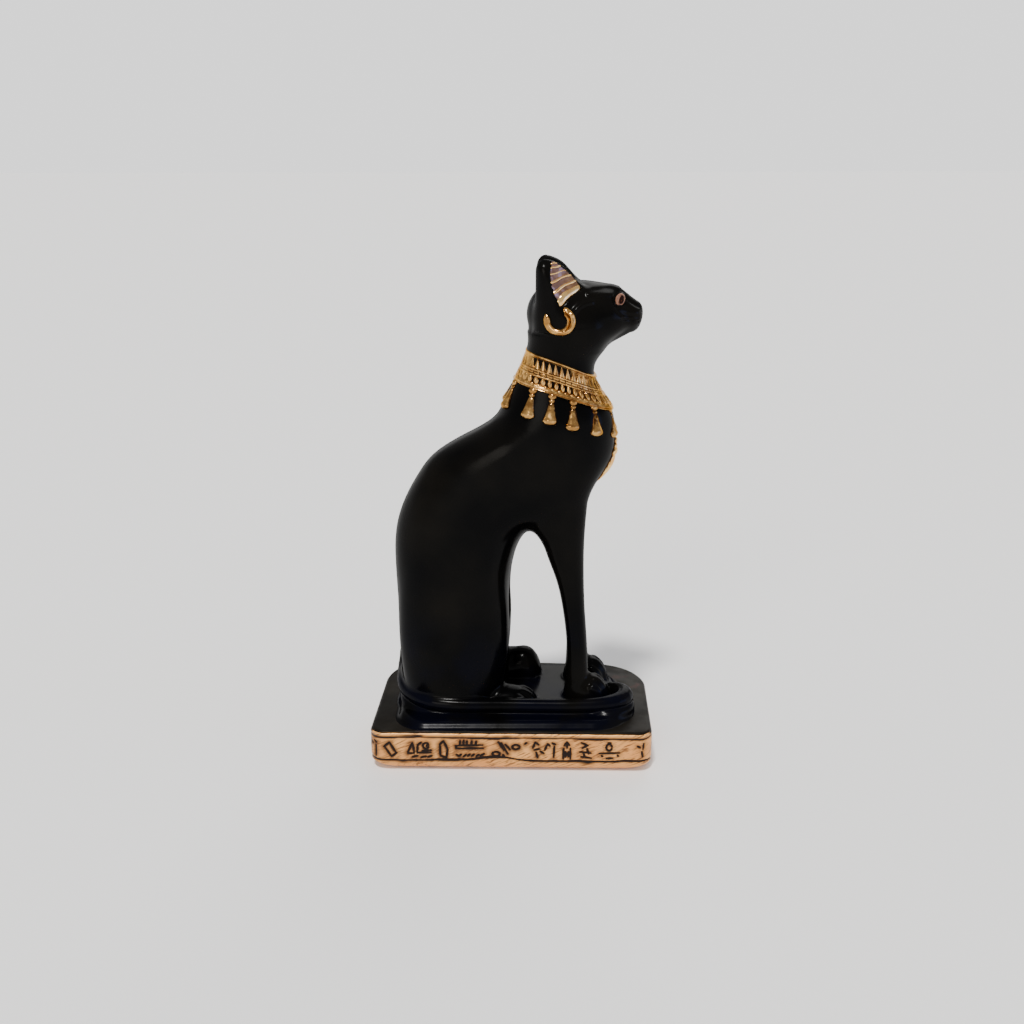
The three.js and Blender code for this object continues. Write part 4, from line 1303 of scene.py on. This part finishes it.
MARKS = {
    "leaning": [[(0, 0.65), (0.35, 0.9), (0.75, 0.3)], [(0.05, 0.6), (0.45, 0.05), (0.8, 0.28)]],
    "huddle": [
        [(0, 0.3), (0.3, 0.85), (0.42, 0.3)], [(0, 0.22), (0.4, 0.24)],
        [(0.6, 0.3), (0.68, 0.75), (0.9, 0.9)], [(0.62, 0.28), (1.5, 0.3)],
        lens(1.2, 0.7, 0.2, 0.18), [(1.18, 0.68), (1.24, 0.74)],
        [(0.95, 0.42), (1.5, 0.45)], [(0.3, 0.02), (0.62, 0.08)], [(0.85, 0), (1.15, 0.07)],
        [(1.3, 0), (1.55, 0.06)]],
    "blade": [
        [(0.1, 0.15), (0.08, 0.8), (0.32, 1)], [(0.36, 0.98), (0.6, 0.5), (0.52, 0)],
        [(0.12, 0.12), (0.5, 0)]],
    "bench": [
        [(0.25, 0.78), (0.27, 1)], [(0.5, 0.8), (0.52, 1.02)], [(0.75, 0.8), (0.77, 1.02)],
        [(1, 0.8), (1.03, 1)], [(1.3, 0.8), (1.33, 1)], [(0, 0.72), (1.75, 0.76)],
        [(0.05, 0.54), (1.8, 0.57)], [(0, 0.56), (0, 0.7)],
        [(0.05, 0.2), (0.22, 0.08), (0.36, 0.2)], [(0.5, 0.08), (0.66, 0.2)], [(0.78, 0.08), (0.92, 0.2)],
        [(1.06, 0.08), (1.2, 0.2)], [(1.32, 0.1), (1.5, 0.2)], [(1.6, 0.1), (1.85, 0.24)]],
    "pebble": [lens(0.25, 0.25, 0.26, 0.13)],
    "rain": [
        [(0, 0.95), (0.35, 0.45)], [(0.2, 0.9), (0.62, 0.25)], [(0.45, 0.8), (0.75, 0.5)],
        [(0.3, 0.2), (0.38, 0.1)]],
    "high_pebble": [lens(0.25, 0.68, 0.25, 0.14), [(0.85, 0.85), (0.93, 0.92)]],
    "fan": [
        [(0.05, 0.62), (0.2, 0.95), (0.42, 0.8)], [(0.14, 0.5), (0.46, 0.56)], [(0.5, 0.42), (0.72, 0.3)],
        [(0.24, 0.34), (0.34, 0.02)]],
    "comb": [
        [(0, 0.5), (0.14, 0.8)], [(0.22, 0.86), (0.36, 0.74)], [(0.5, 0.94), (0.7, 0.86)],
        [(0.66, 0.7), (0.62, 0.05)]],
    "hive": [
        [(0.05, 0), (0.06, 0.62)], [(0.14, 0.8), (0.3, 1), (0.46, 0.8)], [(0.54, 0.62), (0.55, 0)],
        [(0.3, 0.62), (0.3, 0.85)], [(0.22, 0.1), (0.23, 0.42)], [(0.38, 0.1), (0.38, 0.42)]],
    "knot": [
        [(0.1, 0.95), (0.5, 0.8), (0.15, 0.62)], [(0.45, 0.6), (0.55, 0.3)], [(0, 0.4), (0.7, 0.34)],
        [(0.1, 0.12), (0.75, 0.04)], [(0.3, 0.28), (0.35, 0.08)]],
    "lamp": [
        lens(0.62, 0.7, 0.19, 0.2), [(0.55, 0.98), (0.72, 0.96)], [(0, 0.32), (1.3, 0.36)],
        [(0.45, 0.04), (0.85, 0.06)], [(0.1, 0.18), (0.16, 0.12)], [(1.18, 0.2), (1.22, 0.14)]],
    "twigs": [[(0.02, 0.8), (0.2, 0.7)], [(0.44, 0.92), (0.4, 0.6)], [(0.3, 0.42), (0.36, 0.12)]],
}
# The marks along the photographed side, each with its place in mm from that side's start
FRONT_ROW = [
    ("comb", -1.2), ("leaning", 4.4), ("huddle", 11.6), ("blade", 20.8), ("bench", 26), ("pebble", 37),
    ("rain", 38.8), ("high_pebble", 43), ("fan", 49), ("comb", 52.6), ("hive", 58), ("knot", 63.2),
    ("lamp", 69.2), ("twigs", 80.4)]
FRONT_ROW_END = 88
ROW_GAP = 6
MARK_LENGTH = 4.6
MARK_HEIGHT = 5.5
MARK_FOOT = LOWER_LINE + 0.85
STROKE_WIDTH = 0.37
STROKE_DEPTH = 0.3
STROKE_SPREAD = 1.1
STROKE_NEAR = 2.4
STROKE_SOOT_REACH = 1.1
LONGEST_STROKE = 20
LINE_SOOT = 0.6
LINE_SOOT_REACH = 0.7
INK_STRENGTH = 2.2
# How the soot thins out along the front, and where the black of the top has run over the lip at the sides
SOOT_WALK = 0, 46, 62, 86
SOOT_SHARE = 1, 1, 0.5, 0.6
RUN_OVER_FROM = 0.75
RUN_OVER_FOOT = BAND_TOP - 1.3


def band_strokes():
    """All strokes of the band as short lists of (walk, height) points in mm."""
    walked, _, _ = plinth_plan()
    length = walked[-1]
    front_start = side_start(walked)
    places = [(name, front_start + start) for name, start in FRONT_ROW]
    names = list(MARKS)
    at = front_start + FRONT_ROW_END
    while at < front_start + length - ROW_GAP:
        name = random.choice(names)
        places.append((name, at))
        wide = max(x for stroke in MARKS[name] for x, _ in stroke)
        at += wide * MARK_LENGTH + random.uniform(1.6, 3.4)
    strokes = []
    for name, start in places:
        for stroke in MARKS[name]:
            shift_x, shift_h = random.uniform(-0.12, 0.12), random.uniform(-0.12, 0.12)
            strokes.append([
                ((start + x * MARK_LENGTH + shift_x) % length, MARK_FOOT + h * MARK_HEIGHT + shift_h)
                for x, h in stroke])
    return strokes


def groove_depth(distance, half_width):
    return np.clip(1 - (distance / half_width) ** 2, 0, 1)


def wander(walk, *waves):
    """How far a hand-scored line strays, from a few waves of (reach, length, start)."""
    return sum(reach * np.sin(2 * math.pi * walk / length + start) for reach, length, start in waves)


def band_levels():
    """Levels of the band from the foot up: heights, ways to the foot's outline and insets of the lip."""
    count = round((LIP_FOOT - FOOT_TOP) / (BAND_STEP * 0.85))
    between = [FOOT_TOP + (LIP_FOOT - FOOT_TOP) * i / count for i in range(1, count)]
    levels = [(z, reach, 0) for z, reach in FOOT_LEVELS] + [(z, 0, 0) for z in between]
    return np.array(levels + [(z, 0, inset) for z, inset in LIP_LEVELS]).T


def score_lines(walk, z, length, front_start):
    """Ink and soot of the two lines that are scored right round the band by hand."""
    upper = UPPER_LINE + wander(walk, (0.12, length / 7, 1), (0.08, length / 17, 2), (0.05, length / 41, 0))
    lower = LOWER_LINE + wander(walk, (0.16, length / 5, 2.4), (0.1, length / 13, 1), (0.05, length / 37, 3))
    lower += LOWER_BUMP * np.exp(-((walk - front_start - LOWER_BUMP_PLACE) / LOWER_BUMP_REACH) ** 2)
    ink = np.zeros(walk.shape)
    soot = np.zeros(walk.shape)
    for line, waver in ((upper, 0.5), (lower, 2)):
        swell = 1 + 0.35 * np.sin(walk / 3.1 + waver) * np.sin(walk / 7.3)
        away = np.abs(z - line)
        ink = np.maximum(ink, groove_depth(away, LINE_WIDTH / 2 * swell))
        soot = np.maximum(soot, LINE_SOOT * np.exp(-(away / LINE_SOOT_REACH) ** 2))
    return ink, soot


def score_strokes(ink, soot, walk, z):
    """Adds the ink and soot of the marks, stroke by stroke, only to the columns near each."""
    for stroke in band_strokes():
        for (x0, h0), (x1, h1) in zip(stroke, stroke[1:]):
            near = np.abs(walk[0] - (x0 + x1) / 2) < abs(x1 - x0) / 2 + STROKE_NEAR
            if not near.any() or abs(x1 - x0) > LONGEST_STROKE:
                continue
            gx, gh = walk[:, near] - x0, z[:, near] - h0
            dx, dh = x1 - x0, h1 - h0
            t = np.clip((gx * dx + gh * dh) / (dx * dx + dh * dh + 1e-9), 0, 1)
            away = np.hypot(gx - dx * t, gh - dh * t)
            swell = STROKE_WIDTH * (STROKE_SPREAD - 0.3 * np.abs(2 * t - 1))
            ink[:, near] = np.maximum(ink[:, near], groove_depth(away, swell * 1.25))
            soot[:, near] = np.maximum(soot[:, near], np.exp(-(away / STROKE_SOOT_REACH) ** 2))


def make_band(paint):
    walked, outline, normals = plinth_plan()
    _, foot, _ = plinth_plan(FOOT_INSET, FOOT_RIGHT_CORNER, FOOT_LEFT_CORNER)
    length = walked[-1]
    front_start = side_start(walked)
    columns = round(length / BAND_STEP)
    walk = np.arange(columns) * length / columns
    z, reach, inset = band_levels()
    walk_grid, z_grid = np.meshgrid(walk, z)
    reach_grid, inset_grid = (np.repeat(line[:, None], columns, axis=1) for line in (reach, inset))
    ink, soot = score_lines(walk_grid, z_grid, length, front_start)
    score_strokes(ink, soot, walk_grid, z_grid)
    ink = np.clip(ink * INK_STRENGTH, 0, 1) * ((reach_grid < 0.2) & (inset_grid < 0.2))
    soot *= np.interp(walk_grid - front_start, SOOT_WALK, SOOT_SHARE)

    uneven = wander(walk_grid, (0.05, length / 23, 0), (0.035, length / 57, 1))
    lip = np.clip((z_grid - BAND_TOP + 0.9) / 0.5, 0, 1) * (inset_grid < 1)
    facing = at_walk(walk, walked, normals)
    facing = facing / np.linalg.norm(facing, axis=0)
    at_ends = np.clip((np.abs(facing[0]) - RUN_OVER_FROM) / 0.15, 0, 1)
    run_over = at_ends * np.clip((z_grid - RUN_OVER_FOOT) / 0.3, 0, 1)
    edge = at_walk(walk, walked, outline)
    to_foot = at_walk(walk, walked, foot) - edge
    inward = inset_grid + ink * STROKE_DEPTH
    x, y = (edge[k] + to_foot[k] * reach_grid - facing[k] * inward for k in (0, 1))
    points = np.stack([x.ravel(), y.ravel(), (z_grid + uneven * lip).ravel()]) * MM

    here = np.arange(walk_grid.size).reshape(walk_grid.shape)
    right = np.roll(here, -1, axis=1)
    faces = np.stack([here, right, np.roll(right, -1, axis=0), np.roll(here, -1, axis=0)], axis=-1)
    band = new_piece("band", points.T, faces.reshape(-1, 4), paint)
    note(band, "ink", np.maximum(ink, run_over))
    note(band, "soot", soot)
    note(band, "walk", walk_grid)
    note(band, "level", z_grid)
    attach(band, "root")


BLOCK_INSET = 0.4
BLOCK_FOOT = 3.6
BLOCK_TOP_ROUND = 0.8
SOLE_INSET = 6.5
SOLE_HEIGHT = 5
SOLE_RIGHT_CORNER = 21
SOLE_LEFT_CORNER = 24


def rounded_box(name, low, high, inset, right_radius=RIGHT_CORNER, left_radius=LEFT_CORNER):
    """A box between two levels with the plinth's outline, moved in by an inset, and rounded corners."""
    length, depth = FIGURE_LENGTH - 2 * inset, PLINTH_BACK_DEPTH - 2 * inset
    bpy.ops.mesh.primitive_cube_add(size=1)
    box = last_added(name)
    box.scale = length * MM, depth * MM, (high - low) * MM
    box.location = 0, 0, (high + low) / 2 * MM
    fix_place(box)
    x, y, z = points_of(box)
    narrowing = (PLINTH_FRONT_DEPTH - 2 * inset) / depth
    move_to(box, np.stack([x, np.where(x > 0, y * narrowing, y), z]))
    upright = (high - low) * 0.5 * MM
    for side, radius, segments in ((-1, right_radius, 12), (1, left_radius, 24)):
        select_edges(box, lambda a, b: abs(a.z - b.z) > upright and a.y * side > 0 and b.y * side > 0)
        bevel_selected(box, max(radius - inset, 2) * MM, segments)
    return box


def make_block(material):
    """The plinth's body, a little inside the band, with its black top and its flat sole."""
    block = rounded_box("plinth_block", BLOCK_FOOT, PLINTH_HEIGHT / MM - BLOCK_TOP_ROUND, BLOCK_INSET)
    round_off_top(block, BLOCK_TOP_ROUND * MM, 5)
    sole = rounded_box("plinth_sole", 0.05, SOLE_HEIGHT, SOLE_INSET, SOLE_RIGHT_CORNER, SOLE_LEFT_CORNER)
    finish_piece(join("plinth_block", [block, sole]), material)


# Finishes


def new_effect(name, inputs, outputs):
    """An empty shader group with named sockets."""
    group = bpy.data.node_groups.new(name, "ShaderNodeTree")
    for direction, sockets in (("INPUT", inputs), ("OUTPUT", outputs)):
        for socket, kind in sockets.items():
            group.interface.new_socket(socket, in_out=direction, socket_type="NodeSocket" + kind)
    given = group.nodes.new("NodeGroupInput").outputs
    result = group.nodes.new("NodeGroupOutput").inputs
    return group, given, result


def wire(tree, kind, inputs, **settings):
    """Adds a node; each of its inputs gets a value or the output of another node."""
    node = tree.nodes.new("ShaderNode" + kind)
    for name, value in settings.items():
        setattr(node, name, value)
    for name, value in inputs.items():
        if isinstance(value, bpy.types.NodeSocket):
            tree.links.new(value, node.inputs[name])
        else:
            node.inputs[name].default_value = value
    return node


def mixed(tree, mask, a, b):
    """A colour between two others, by a mask."""
    return wire(tree, "Mix", {"Factor": mask, "A": a, "B": b}, data_type="RGBA").outputs["Result"]


def patches_effect():
    """Uneven patches over the surface, from 0 to 1, of a size in mm."""
    group, given, result = new_effect(
        "patches", {"Place": "Vector", "Size": "Float", "Low": "Float", "High": "Float"}, {"Mask": "Float"})
    often = wire(group, "Math", {0: 1 / MM, 1: given["Size"]}, operation="DIVIDE")
    cloud = wire(group, "TexNoise", {"Vector": given["Place"], "Scale": often.outputs[0], "Detail": 3.0})
    mask = wire(group, "MapRange", {
        "Value": cloud.outputs["Fac"], "From Min": given["Low"], "From Max": given["High"]})
    group.links.new(mask.outputs["Result"], result["Mask"])
    return group


def brushing_effect():
    """Fine streaks left by the brush, drawn out along one direction."""
    group, given, result = new_effect(
        "brushing", {"Place": "Vector", "Stretch": "Vector", "Size": "Float"}, {"Streaks": "Float"})
    often = wire(group, "Math", {0: 1 / MM, 1: given["Size"]}, operation="DIVIDE")
    drawn = wire(group, "VectorMath", {0: given["Place"], 1: given["Stretch"]}, operation="MULTIPLY")
    streaks = wire(group, "TexNoise", {
        "Vector": drawn.outputs["Vector"], "Scale": often.outputs[0], "Detail": 2.0, "Roughness": 0.6})
    group.links.new(streaks.outputs["Fac"], result["Streaks"])
    return group


def wash_and_shade_effect():
    """A dark wash with painted shade, which stay in the recesses and thin out on what stands proud."""
    group, given, result = new_effect(
        "dark_wash_and_shade", {
            "Paint": "Color", "Wash_And_Shade": "Color", "Lift": "Float", "Low": "Float", "High": "Float",
            "Patches": "Float"},
        {"Color": "Color", "Proud": "Float"})
    nudged = wire(group, "Math", {0: given["Patches"], 1: 0.4, 2: given["Lift"]}, operation="MULTIPLY_ADD")
    proud = wire(group, "MapRange", {
        "Value": nudged.outputs[0], "From Min": given["Low"], "From Max": given["High"]},
        interpolation_type="SMOOTHSTEP")
    color = mixed(group, proud.outputs["Result"], given["Wash_And_Shade"], given["Paint"])
    group.links.new(color, result["Color"])
    group.links.new(proud.outputs["Result"], result["Proud"])
    return group


# Tones of the paints; where there are two, the finish lies between them in patches
BLACK = (0.0012, 0.0012, 0.0013, 1), (0.004, 0.0035, 0.0028, 1)
# A navy painted into the black as a blue reflection
BLUE_REFLECTION_BLACK = (0.0013, 0.0015, 0.0042, 1)
BROWN_GREY_BLACK = (0.0045, 0.0037, 0.0029, 1), (0.011, 0.0093, 0.0068, 1)
RUST = (0.03, 0.01, 0.008, 1)
GOLD = (0.28, 0.135, 0.038, 1), (0.62, 0.36, 0.12, 1)
PALE_GOLD = (0.72, 0.4, 0.14, 1), (1, 0.68, 0.28, 1)
# Umber of the dark wash, which also paints the shade in the recesses
UMBER = (0.075, 0.026, 0.006, 1)
GAP_BLACK = (0.003, 0.0026, 0.0022, 1)
COPPER = (0.66, 0.28, 0.08, 1), (0.84, 0.41, 0.13, 1)
# A paler copper painted along the lip as its highlight
LIP_HIGHLIGHT_COPPER = (0.8, 0.4, 0.13, 1)
HATCH_BROWN = (0.14, 0.055, 0.022, 1)
SOOT_BROWN = (0.11, 0.045, 0.018, 1)
INK = (0.012, 0.006, 0.004, 1)
BROWN_ENAMEL = (0.085, 0.045, 0.036, 1), (0.14, 0.08, 0.072, 1)
LILAC_ENAMEL = (0.22, 0.16, 0.24, 1)
SANDY_ENAMEL = (0.08, 0.038, 0.016, 1), (0.16, 0.088, 0.045, 1)
EYE_CREAM = (0.24, 0.11, 0.065, 1), (0.13, 0.052, 0.03, 1)
PUPIL_BROWN = (0.012, 0.004, 0.003, 1), (0.13, 0.04, 0.018, 1)
WARM_GLINT = (1, 0.86, 0.7, 1)
GOLD_GLINT = (1, 0.72, 0.4, 1)

PATCHES = patches_effect()
BRUSHING = brushing_effect()
WASH_AND_SHADE = wash_and_shade_effect()


def new_paint(name, **constants):
    """A material with its constants set on the shader; gives the material, its tree, shader and place."""
    material = bpy.data.materials.new(name)
    material.use_nodes = True
    tree = material.node_tree
    shader = tree.nodes["Principled BSDF"]
    for socket, value in constants.items():
        shader.inputs[socket.replace("_", " ")].default_value = value
    place_there = wire(tree, "TexCoord", {}).outputs["Object"]
    return material, tree, shader, place_there


def patches(tree, place_there, size, low=0.4, high=0.62):
    given = {"Place": place_there, "Size": size, "Low": low, "High": high}
    return wire(tree, "Group", given, node_tree=PATCHES).outputs["Mask"]


def brushing(tree, place_there, size, stretch):
    given = {"Place": place_there, "Size": size, "Stretch": stretch}
    return wire(tree, "Group", given, node_tree=BRUSHING).outputs["Streaks"]


def noted(tree, name):
    """A value that the piece keeps for each of its points."""
    return wire(tree, "Attribute", {}, attribute_name=name).outputs["Fac"]


def spread(tree, mask, low, high):
    """A mask spread over a range of values."""
    return wire(tree, "MapRange", {"Value": mask, "To Min": low, "To Max": high}).outputs["Result"]


def bumped(tree, shader, height, strength, distance):
    bump = wire(tree, "Bump", {"Height": height, "Strength": strength, "Distance": distance * MM})
    tree.links.new(bump.outputs["Normal"], shader.inputs["Normal"])


def product(tree, a, b):
    return wire(tree, "Math", {0: a, 1: b}, operation="MULTIPLY").outputs[0]


def fading_gloss(tree, shader, level):
    """Gloss that is full where the paint faces the eye and goes out towards the edges."""
    facing = wire(tree, "LayerWeight", {"Blend": 0.5}).outputs["Facing"]
    gloss = wire(tree, "MapRange", {
        "Value": facing, "From Min": 0.25, "From Max": 0.9, "To Min": level, "To Max": 0.0})
    tree.links.new(gloss.outputs["Result"], shader.inputs["Specular IOR Level"])


# Heights between which a painted blue reflection comes into the black, low down on the figure
BLUE_REFLECTION_ABOVE = 48 * MM
BLUE_REFLECTION_BELOW = 20 * MM


def black_gloss():
    """Brushed-on gloss black, a little warmer in places, with a painted blue reflection in patches low down,
    and the unevenness of a cast skin.
    """
    material, tree, shader, spot = new_paint("black_gloss")
    warm = patches(tree, spot, 26, 0.42, 0.66)
    blue_reflection = patches(tree, spot, 17, 0.45, 0.6)
    height = wire(tree, "SeparateXYZ", {"Vector": spot}).outputs["Z"]
    low_down = wire(tree, "MapRange", {
        "Value": height, "From Min": BLUE_REFLECTION_ABOVE, "From Max": BLUE_REFLECTION_BELOW}).outputs["Result"]
    color = mixed(tree, warm, *BLACK)
    color = mixed(tree, product(tree, blue_reflection, low_down), color, BLUE_REFLECTION_BLACK)
    tree.links.new(color, shader.inputs["Base Color"])
    dull = patches(tree, spot, 9, 0.35, 0.7)
    tree.links.new(spread(tree, dull, 0.14, 0.24), shader.inputs["Roughness"])
    fading_gloss(tree, shader, 0.042)
    bumped(tree, shader, patches(tree, spot, 3.4, 0.2, 0.8), 0.1, 0.12)
    return material


def plinth_black():
    """The plinth's top: the same black, brown-grey in patches with a satin finish, and a few rusty spots."""
    material, tree, shader, spot = new_paint("plinth_black", Specular_Tint=WARM_GLINT)
    brown_grey_patches = patches(tree, spot, 11, 0.36, 0.66)
    rusty = patches(tree, spot, 6, 0.6, 0.72)
    color = mixed(tree, brown_grey_patches, *BROWN_GREY_BLACK)
    color = mixed(tree, product(tree, rusty, brown_grey_patches), color, RUST)
    tree.links.new(color, shader.inputs["Base Color"])
    tree.links.new(spread(tree, patches(tree, spot, 5), 0.32, 0.46), shader.inputs["Roughness"])
    fading_gloss(tree, shader, 0.055)
    bumped(tree, shader, brushing(tree, spot, 2.2, (0.3, 1, 1)), 0.12, 0.08)
    return material


def gold_paint(name="gold_paint", tones=GOLD, gaps=None):
    """Gold paint under a dark wash and painted shade in the recesses; where the gaps are named, the black
    shows between the reliefs.
    """
    material, tree, shader, spot = new_paint(name, Metallic=0.92, Specular_Tint=GOLD_GLINT)
    tone = patches(tree, spot, 2.6, 0.35, 0.68)
    fine = patches(tree, spot, 0.7, 0.35, 0.7)
    given = {
        "Paint": mixed(tree, tone, *tones), "Wash_And_Shade": UMBER, "Lift": noted(tree, "lift"), "Low": 0.3,
        "High": 0.75, "Patches": fine}
    color = wire(tree, "Group", given, node_tree=WASH_AND_SHADE).outputs["Color"]
    if gaps:
        color = mixed(tree, noted(tree, gaps), GAP_BLACK, color)
    tree.links.new(color, shader.inputs["Base Color"])
    tree.links.new(spread(tree, patches(tree, spot, 1.3), 0.1, 0.24), shader.inputs["Roughness"])
    bumped(tree, shader, brushing(tree, spot, 0.5, (1, 1, 0.35)), 0.3, 0.06)
    return material


HATCH_SLANT = math.radians(-24)


def band_paint():
    """Copper paint, painted paler along the lip as its highlight, dark in the strokes and hatched with a
    thin wash about them.
    """
    material, tree, shader, spot = new_paint(
        "band_paint", Metallic=0.35, Roughness=0.4, Specular_IOR_Level=0.2)
    along = wire(tree, "CombineXYZ", {"X": noted(tree, "walk"), "Y": noted(tree, "level")})
    slanted = wire(tree, "VectorRotate", {
        "Vector": along.outputs["Vector"], "Angle": HATCH_SLANT}, rotation_type="Z_AXIS")
    in_metres = wire(tree, "VectorMath", {0: slanted.outputs["Vector"], "Scale": MM}, operation="SCALE")
    hatch = brushing(tree, in_metres.outputs["Vector"], 0.55, (0.13, 1, 1))
    strokes = wire(tree, "MapRange", {"Value": hatch, "From Min": 0.5, "From Max": 0.64}).outputs["Result"]
    hatched = product(tree, strokes, patches(tree, spot, 5, 0.32, 0.52))
    sooty = wire(tree, "MapRange", {
        "Value": product(tree, noted(tree, "soot"), patches(tree, spot, 2.4, 0.22, 0.5)), "To Max": 0.95})
    tone = patches(tree, spot, 7, 0.3, 0.7)
    color = mixed(tree, tone, *COPPER)
    # The lip's painted highlight, over its upper part
    rim = wire(tree, "MapRange", {
        "Value": noted(tree, "level"), "From Min": BAND_TOP - 1.1, "From Max": BAND_TOP - 0.7})
    color = mixed(tree, rim.outputs["Result"], color, LIP_HIGHLIGHT_COPPER)
    color = mixed(tree, product(tree, hatched, 0.9), color, HATCH_BROWN)
    color = mixed(tree, sooty.outputs["Result"], color, SOOT_BROWN)
    color = mixed(tree, noted(tree, "ink"), color, INK)
    tree.links.new(color, shader.inputs["Base Color"])
    bumped(tree, shader, hatch, 0.3, 0.08)
    return material


def ear_enamel():
    """Enamel that runs from lilac at the back of the ear to a sandy brown at its front."""
    material, tree, shader, spot = new_paint("ear_enamel", Specular_IOR_Level=0.3)
    forward = wire(tree, "SeparateXYZ", {"Vector": spot}).outputs["X"]
    front = wire(tree, "MapRange", {"Value": forward, "From Min": 12.2 * MM, "From Max": 16.5 * MM})
    cloudy = patches(tree, spot, 1.7, 0.36, 0.64)
    lilac = patches(tree, spot, 2.1, 0.52, 0.64)
    back_tone = mixed(tree, cloudy, *BROWN_ENAMEL)
    back_tone = mixed(tree, lilac, back_tone, LILAC_ENAMEL)
    front_tone = mixed(tree, cloudy, *SANDY_ENAMEL)
    tree.links.new(mixed(tree, front.outputs["Result"], back_tone, front_tone), shader.inputs["Base Color"])
    tree.links.new(spread(tree, cloudy, 0.3, 0.5), shader.inputs["Roughness"])
    bumped(tree, shader, patches(tree, spot, 0.9, 0.3, 0.7), 0.2, 0.08)
    return material


def eye_paint():
    """Pinkish cream, thinner in spots."""
    material, tree, shader, spot = new_paint("eye_paint", Specular_IOR_Level=0.3)
    thin = patches(tree, spot, 0.8, 0.45, 0.66)
    color = mixed(tree, thin, *EYE_CREAM)
    tree.links.new(color, shader.inputs["Base Color"])
    tree.links.new(spread(tree, thin, 0.3, 0.5), shader.inputs["Roughness"])
    return material


def pupil_paint():
    """Dark brown with a rusty fleck."""
    material, tree, shader, spot = new_paint("pupil_paint", Specular_IOR_Level=0.02)
    fleck = patches(tree, spot, 0.6, 0.58, 0.7)
    tree.links.new(mixed(tree, fleck, *PUPIL_BROWN), shader.inputs["Base Color"])
    tree.links.new(spread(tree, fleck, 0.2, 0.4), shader.inputs["Roughness"])
    return material


# The floor and the light

FLOOR_SIZE = 40
ROOM_GLOW = 0.5
HORIZON_GLOW = 1.5
HORIZON_HEIGHT = 0.14
SUNS = {
    "key": {"from": (-0.12, -0.42, 0.9), "strength": 3.0, "softness": 7, "color": (1, 0.98, 0.95)},
    "front": {"from": (-0.35, -0.85, 0.42), "strength": 0.8, "softness": 24, "color": (1, 0.94, 0.84)},
    "back": {"from": (0.2, 0.8, 0.55), "strength": 1.0, "softness": 40, "color": (1, 0.99, 0.97)},
    "window": {"from": (1, -0.25, 0.12), "strength": 0.6, "softness": 30, "color": (0.2, 0.35, 1)},
}


def make_floor():
    bpy.ops.mesh.primitive_plane_add(size=FLOOR_SIZE)
    floor = bpy.context.object
    floor.name = "floor"
    material = bpy.data.materials.new("floor")
    material.use_nodes = True
    shader = material.node_tree.nodes["Principled BSDF"]
    shader.inputs["Base Color"].default_value = (0.93, 0.93, 0.93, 1)
    shader.inputs["Roughness"].default_value = 0.9
    shader.inputs["Specular IOR Level"].default_value = 0.1
    floor.data.materials.append(material)


def make_room():
    """A pale backdrop low round the horizon under a darker room."""
    world = bpy.data.worlds.new("room")
    world.use_nodes = True
    nodes, links = world.node_tree.nodes, world.node_tree.links
    coordinates = nodes.new("ShaderNodeTexCoord")
    height = nodes.new("ShaderNodeSeparateXYZ")
    glow = nodes.new("ShaderNodeMapRange")
    glow.inputs["From Min"].default_value = HORIZON_HEIGHT
    glow.inputs["From Max"].default_value = 2 * HORIZON_HEIGHT
    glow.inputs["To Min"].default_value = HORIZON_GLOW
    glow.inputs["To Max"].default_value = ROOM_GLOW
    links.new(coordinates.outputs["Generated"], height.inputs[0])
    links.new(height.outputs["Z"], glow.inputs["Value"])
    links.new(glow.outputs["Result"], nodes["Background"].inputs["Strength"])
    nodes["Background"].inputs["Color"].default_value = (1, 1, 1, 1)
    bpy.context.scene.world = world


def make_lights():
    for name, sun in SUNS.items():
        light = bpy.data.lights.new(name, "SUN")
        light.energy = sun["strength"]
        light.angle = math.radians(sun["softness"])
        light.color = sun["color"]
        stand = bpy.data.objects.new(name, light)
        bpy.context.scene.collection.objects.link(stand)
        stand.rotation_euler = (-Vector(sun["from"])).to_track_quat("-Z", "Y").to_euler()


make_camera()
make_floor()
make_room()
make_lights()
black = black_gloss()
gilding = gold_paint()
pale_gilding = gold_paint("pale_gold", PALE_GOLD)

make_cat(black)
make_block(plinth_black())
make_band(band_paint())
make_collar(gilding, gold_paint("collar_ground", gaps="gilt"))
make_tassels(gilding)
make_earrings(gilding)
make_ears(ear_enamel(), pale_gilding)
make_eyes(eye_paint(), pupil_paint())
make_pectoral(pale_gilding)
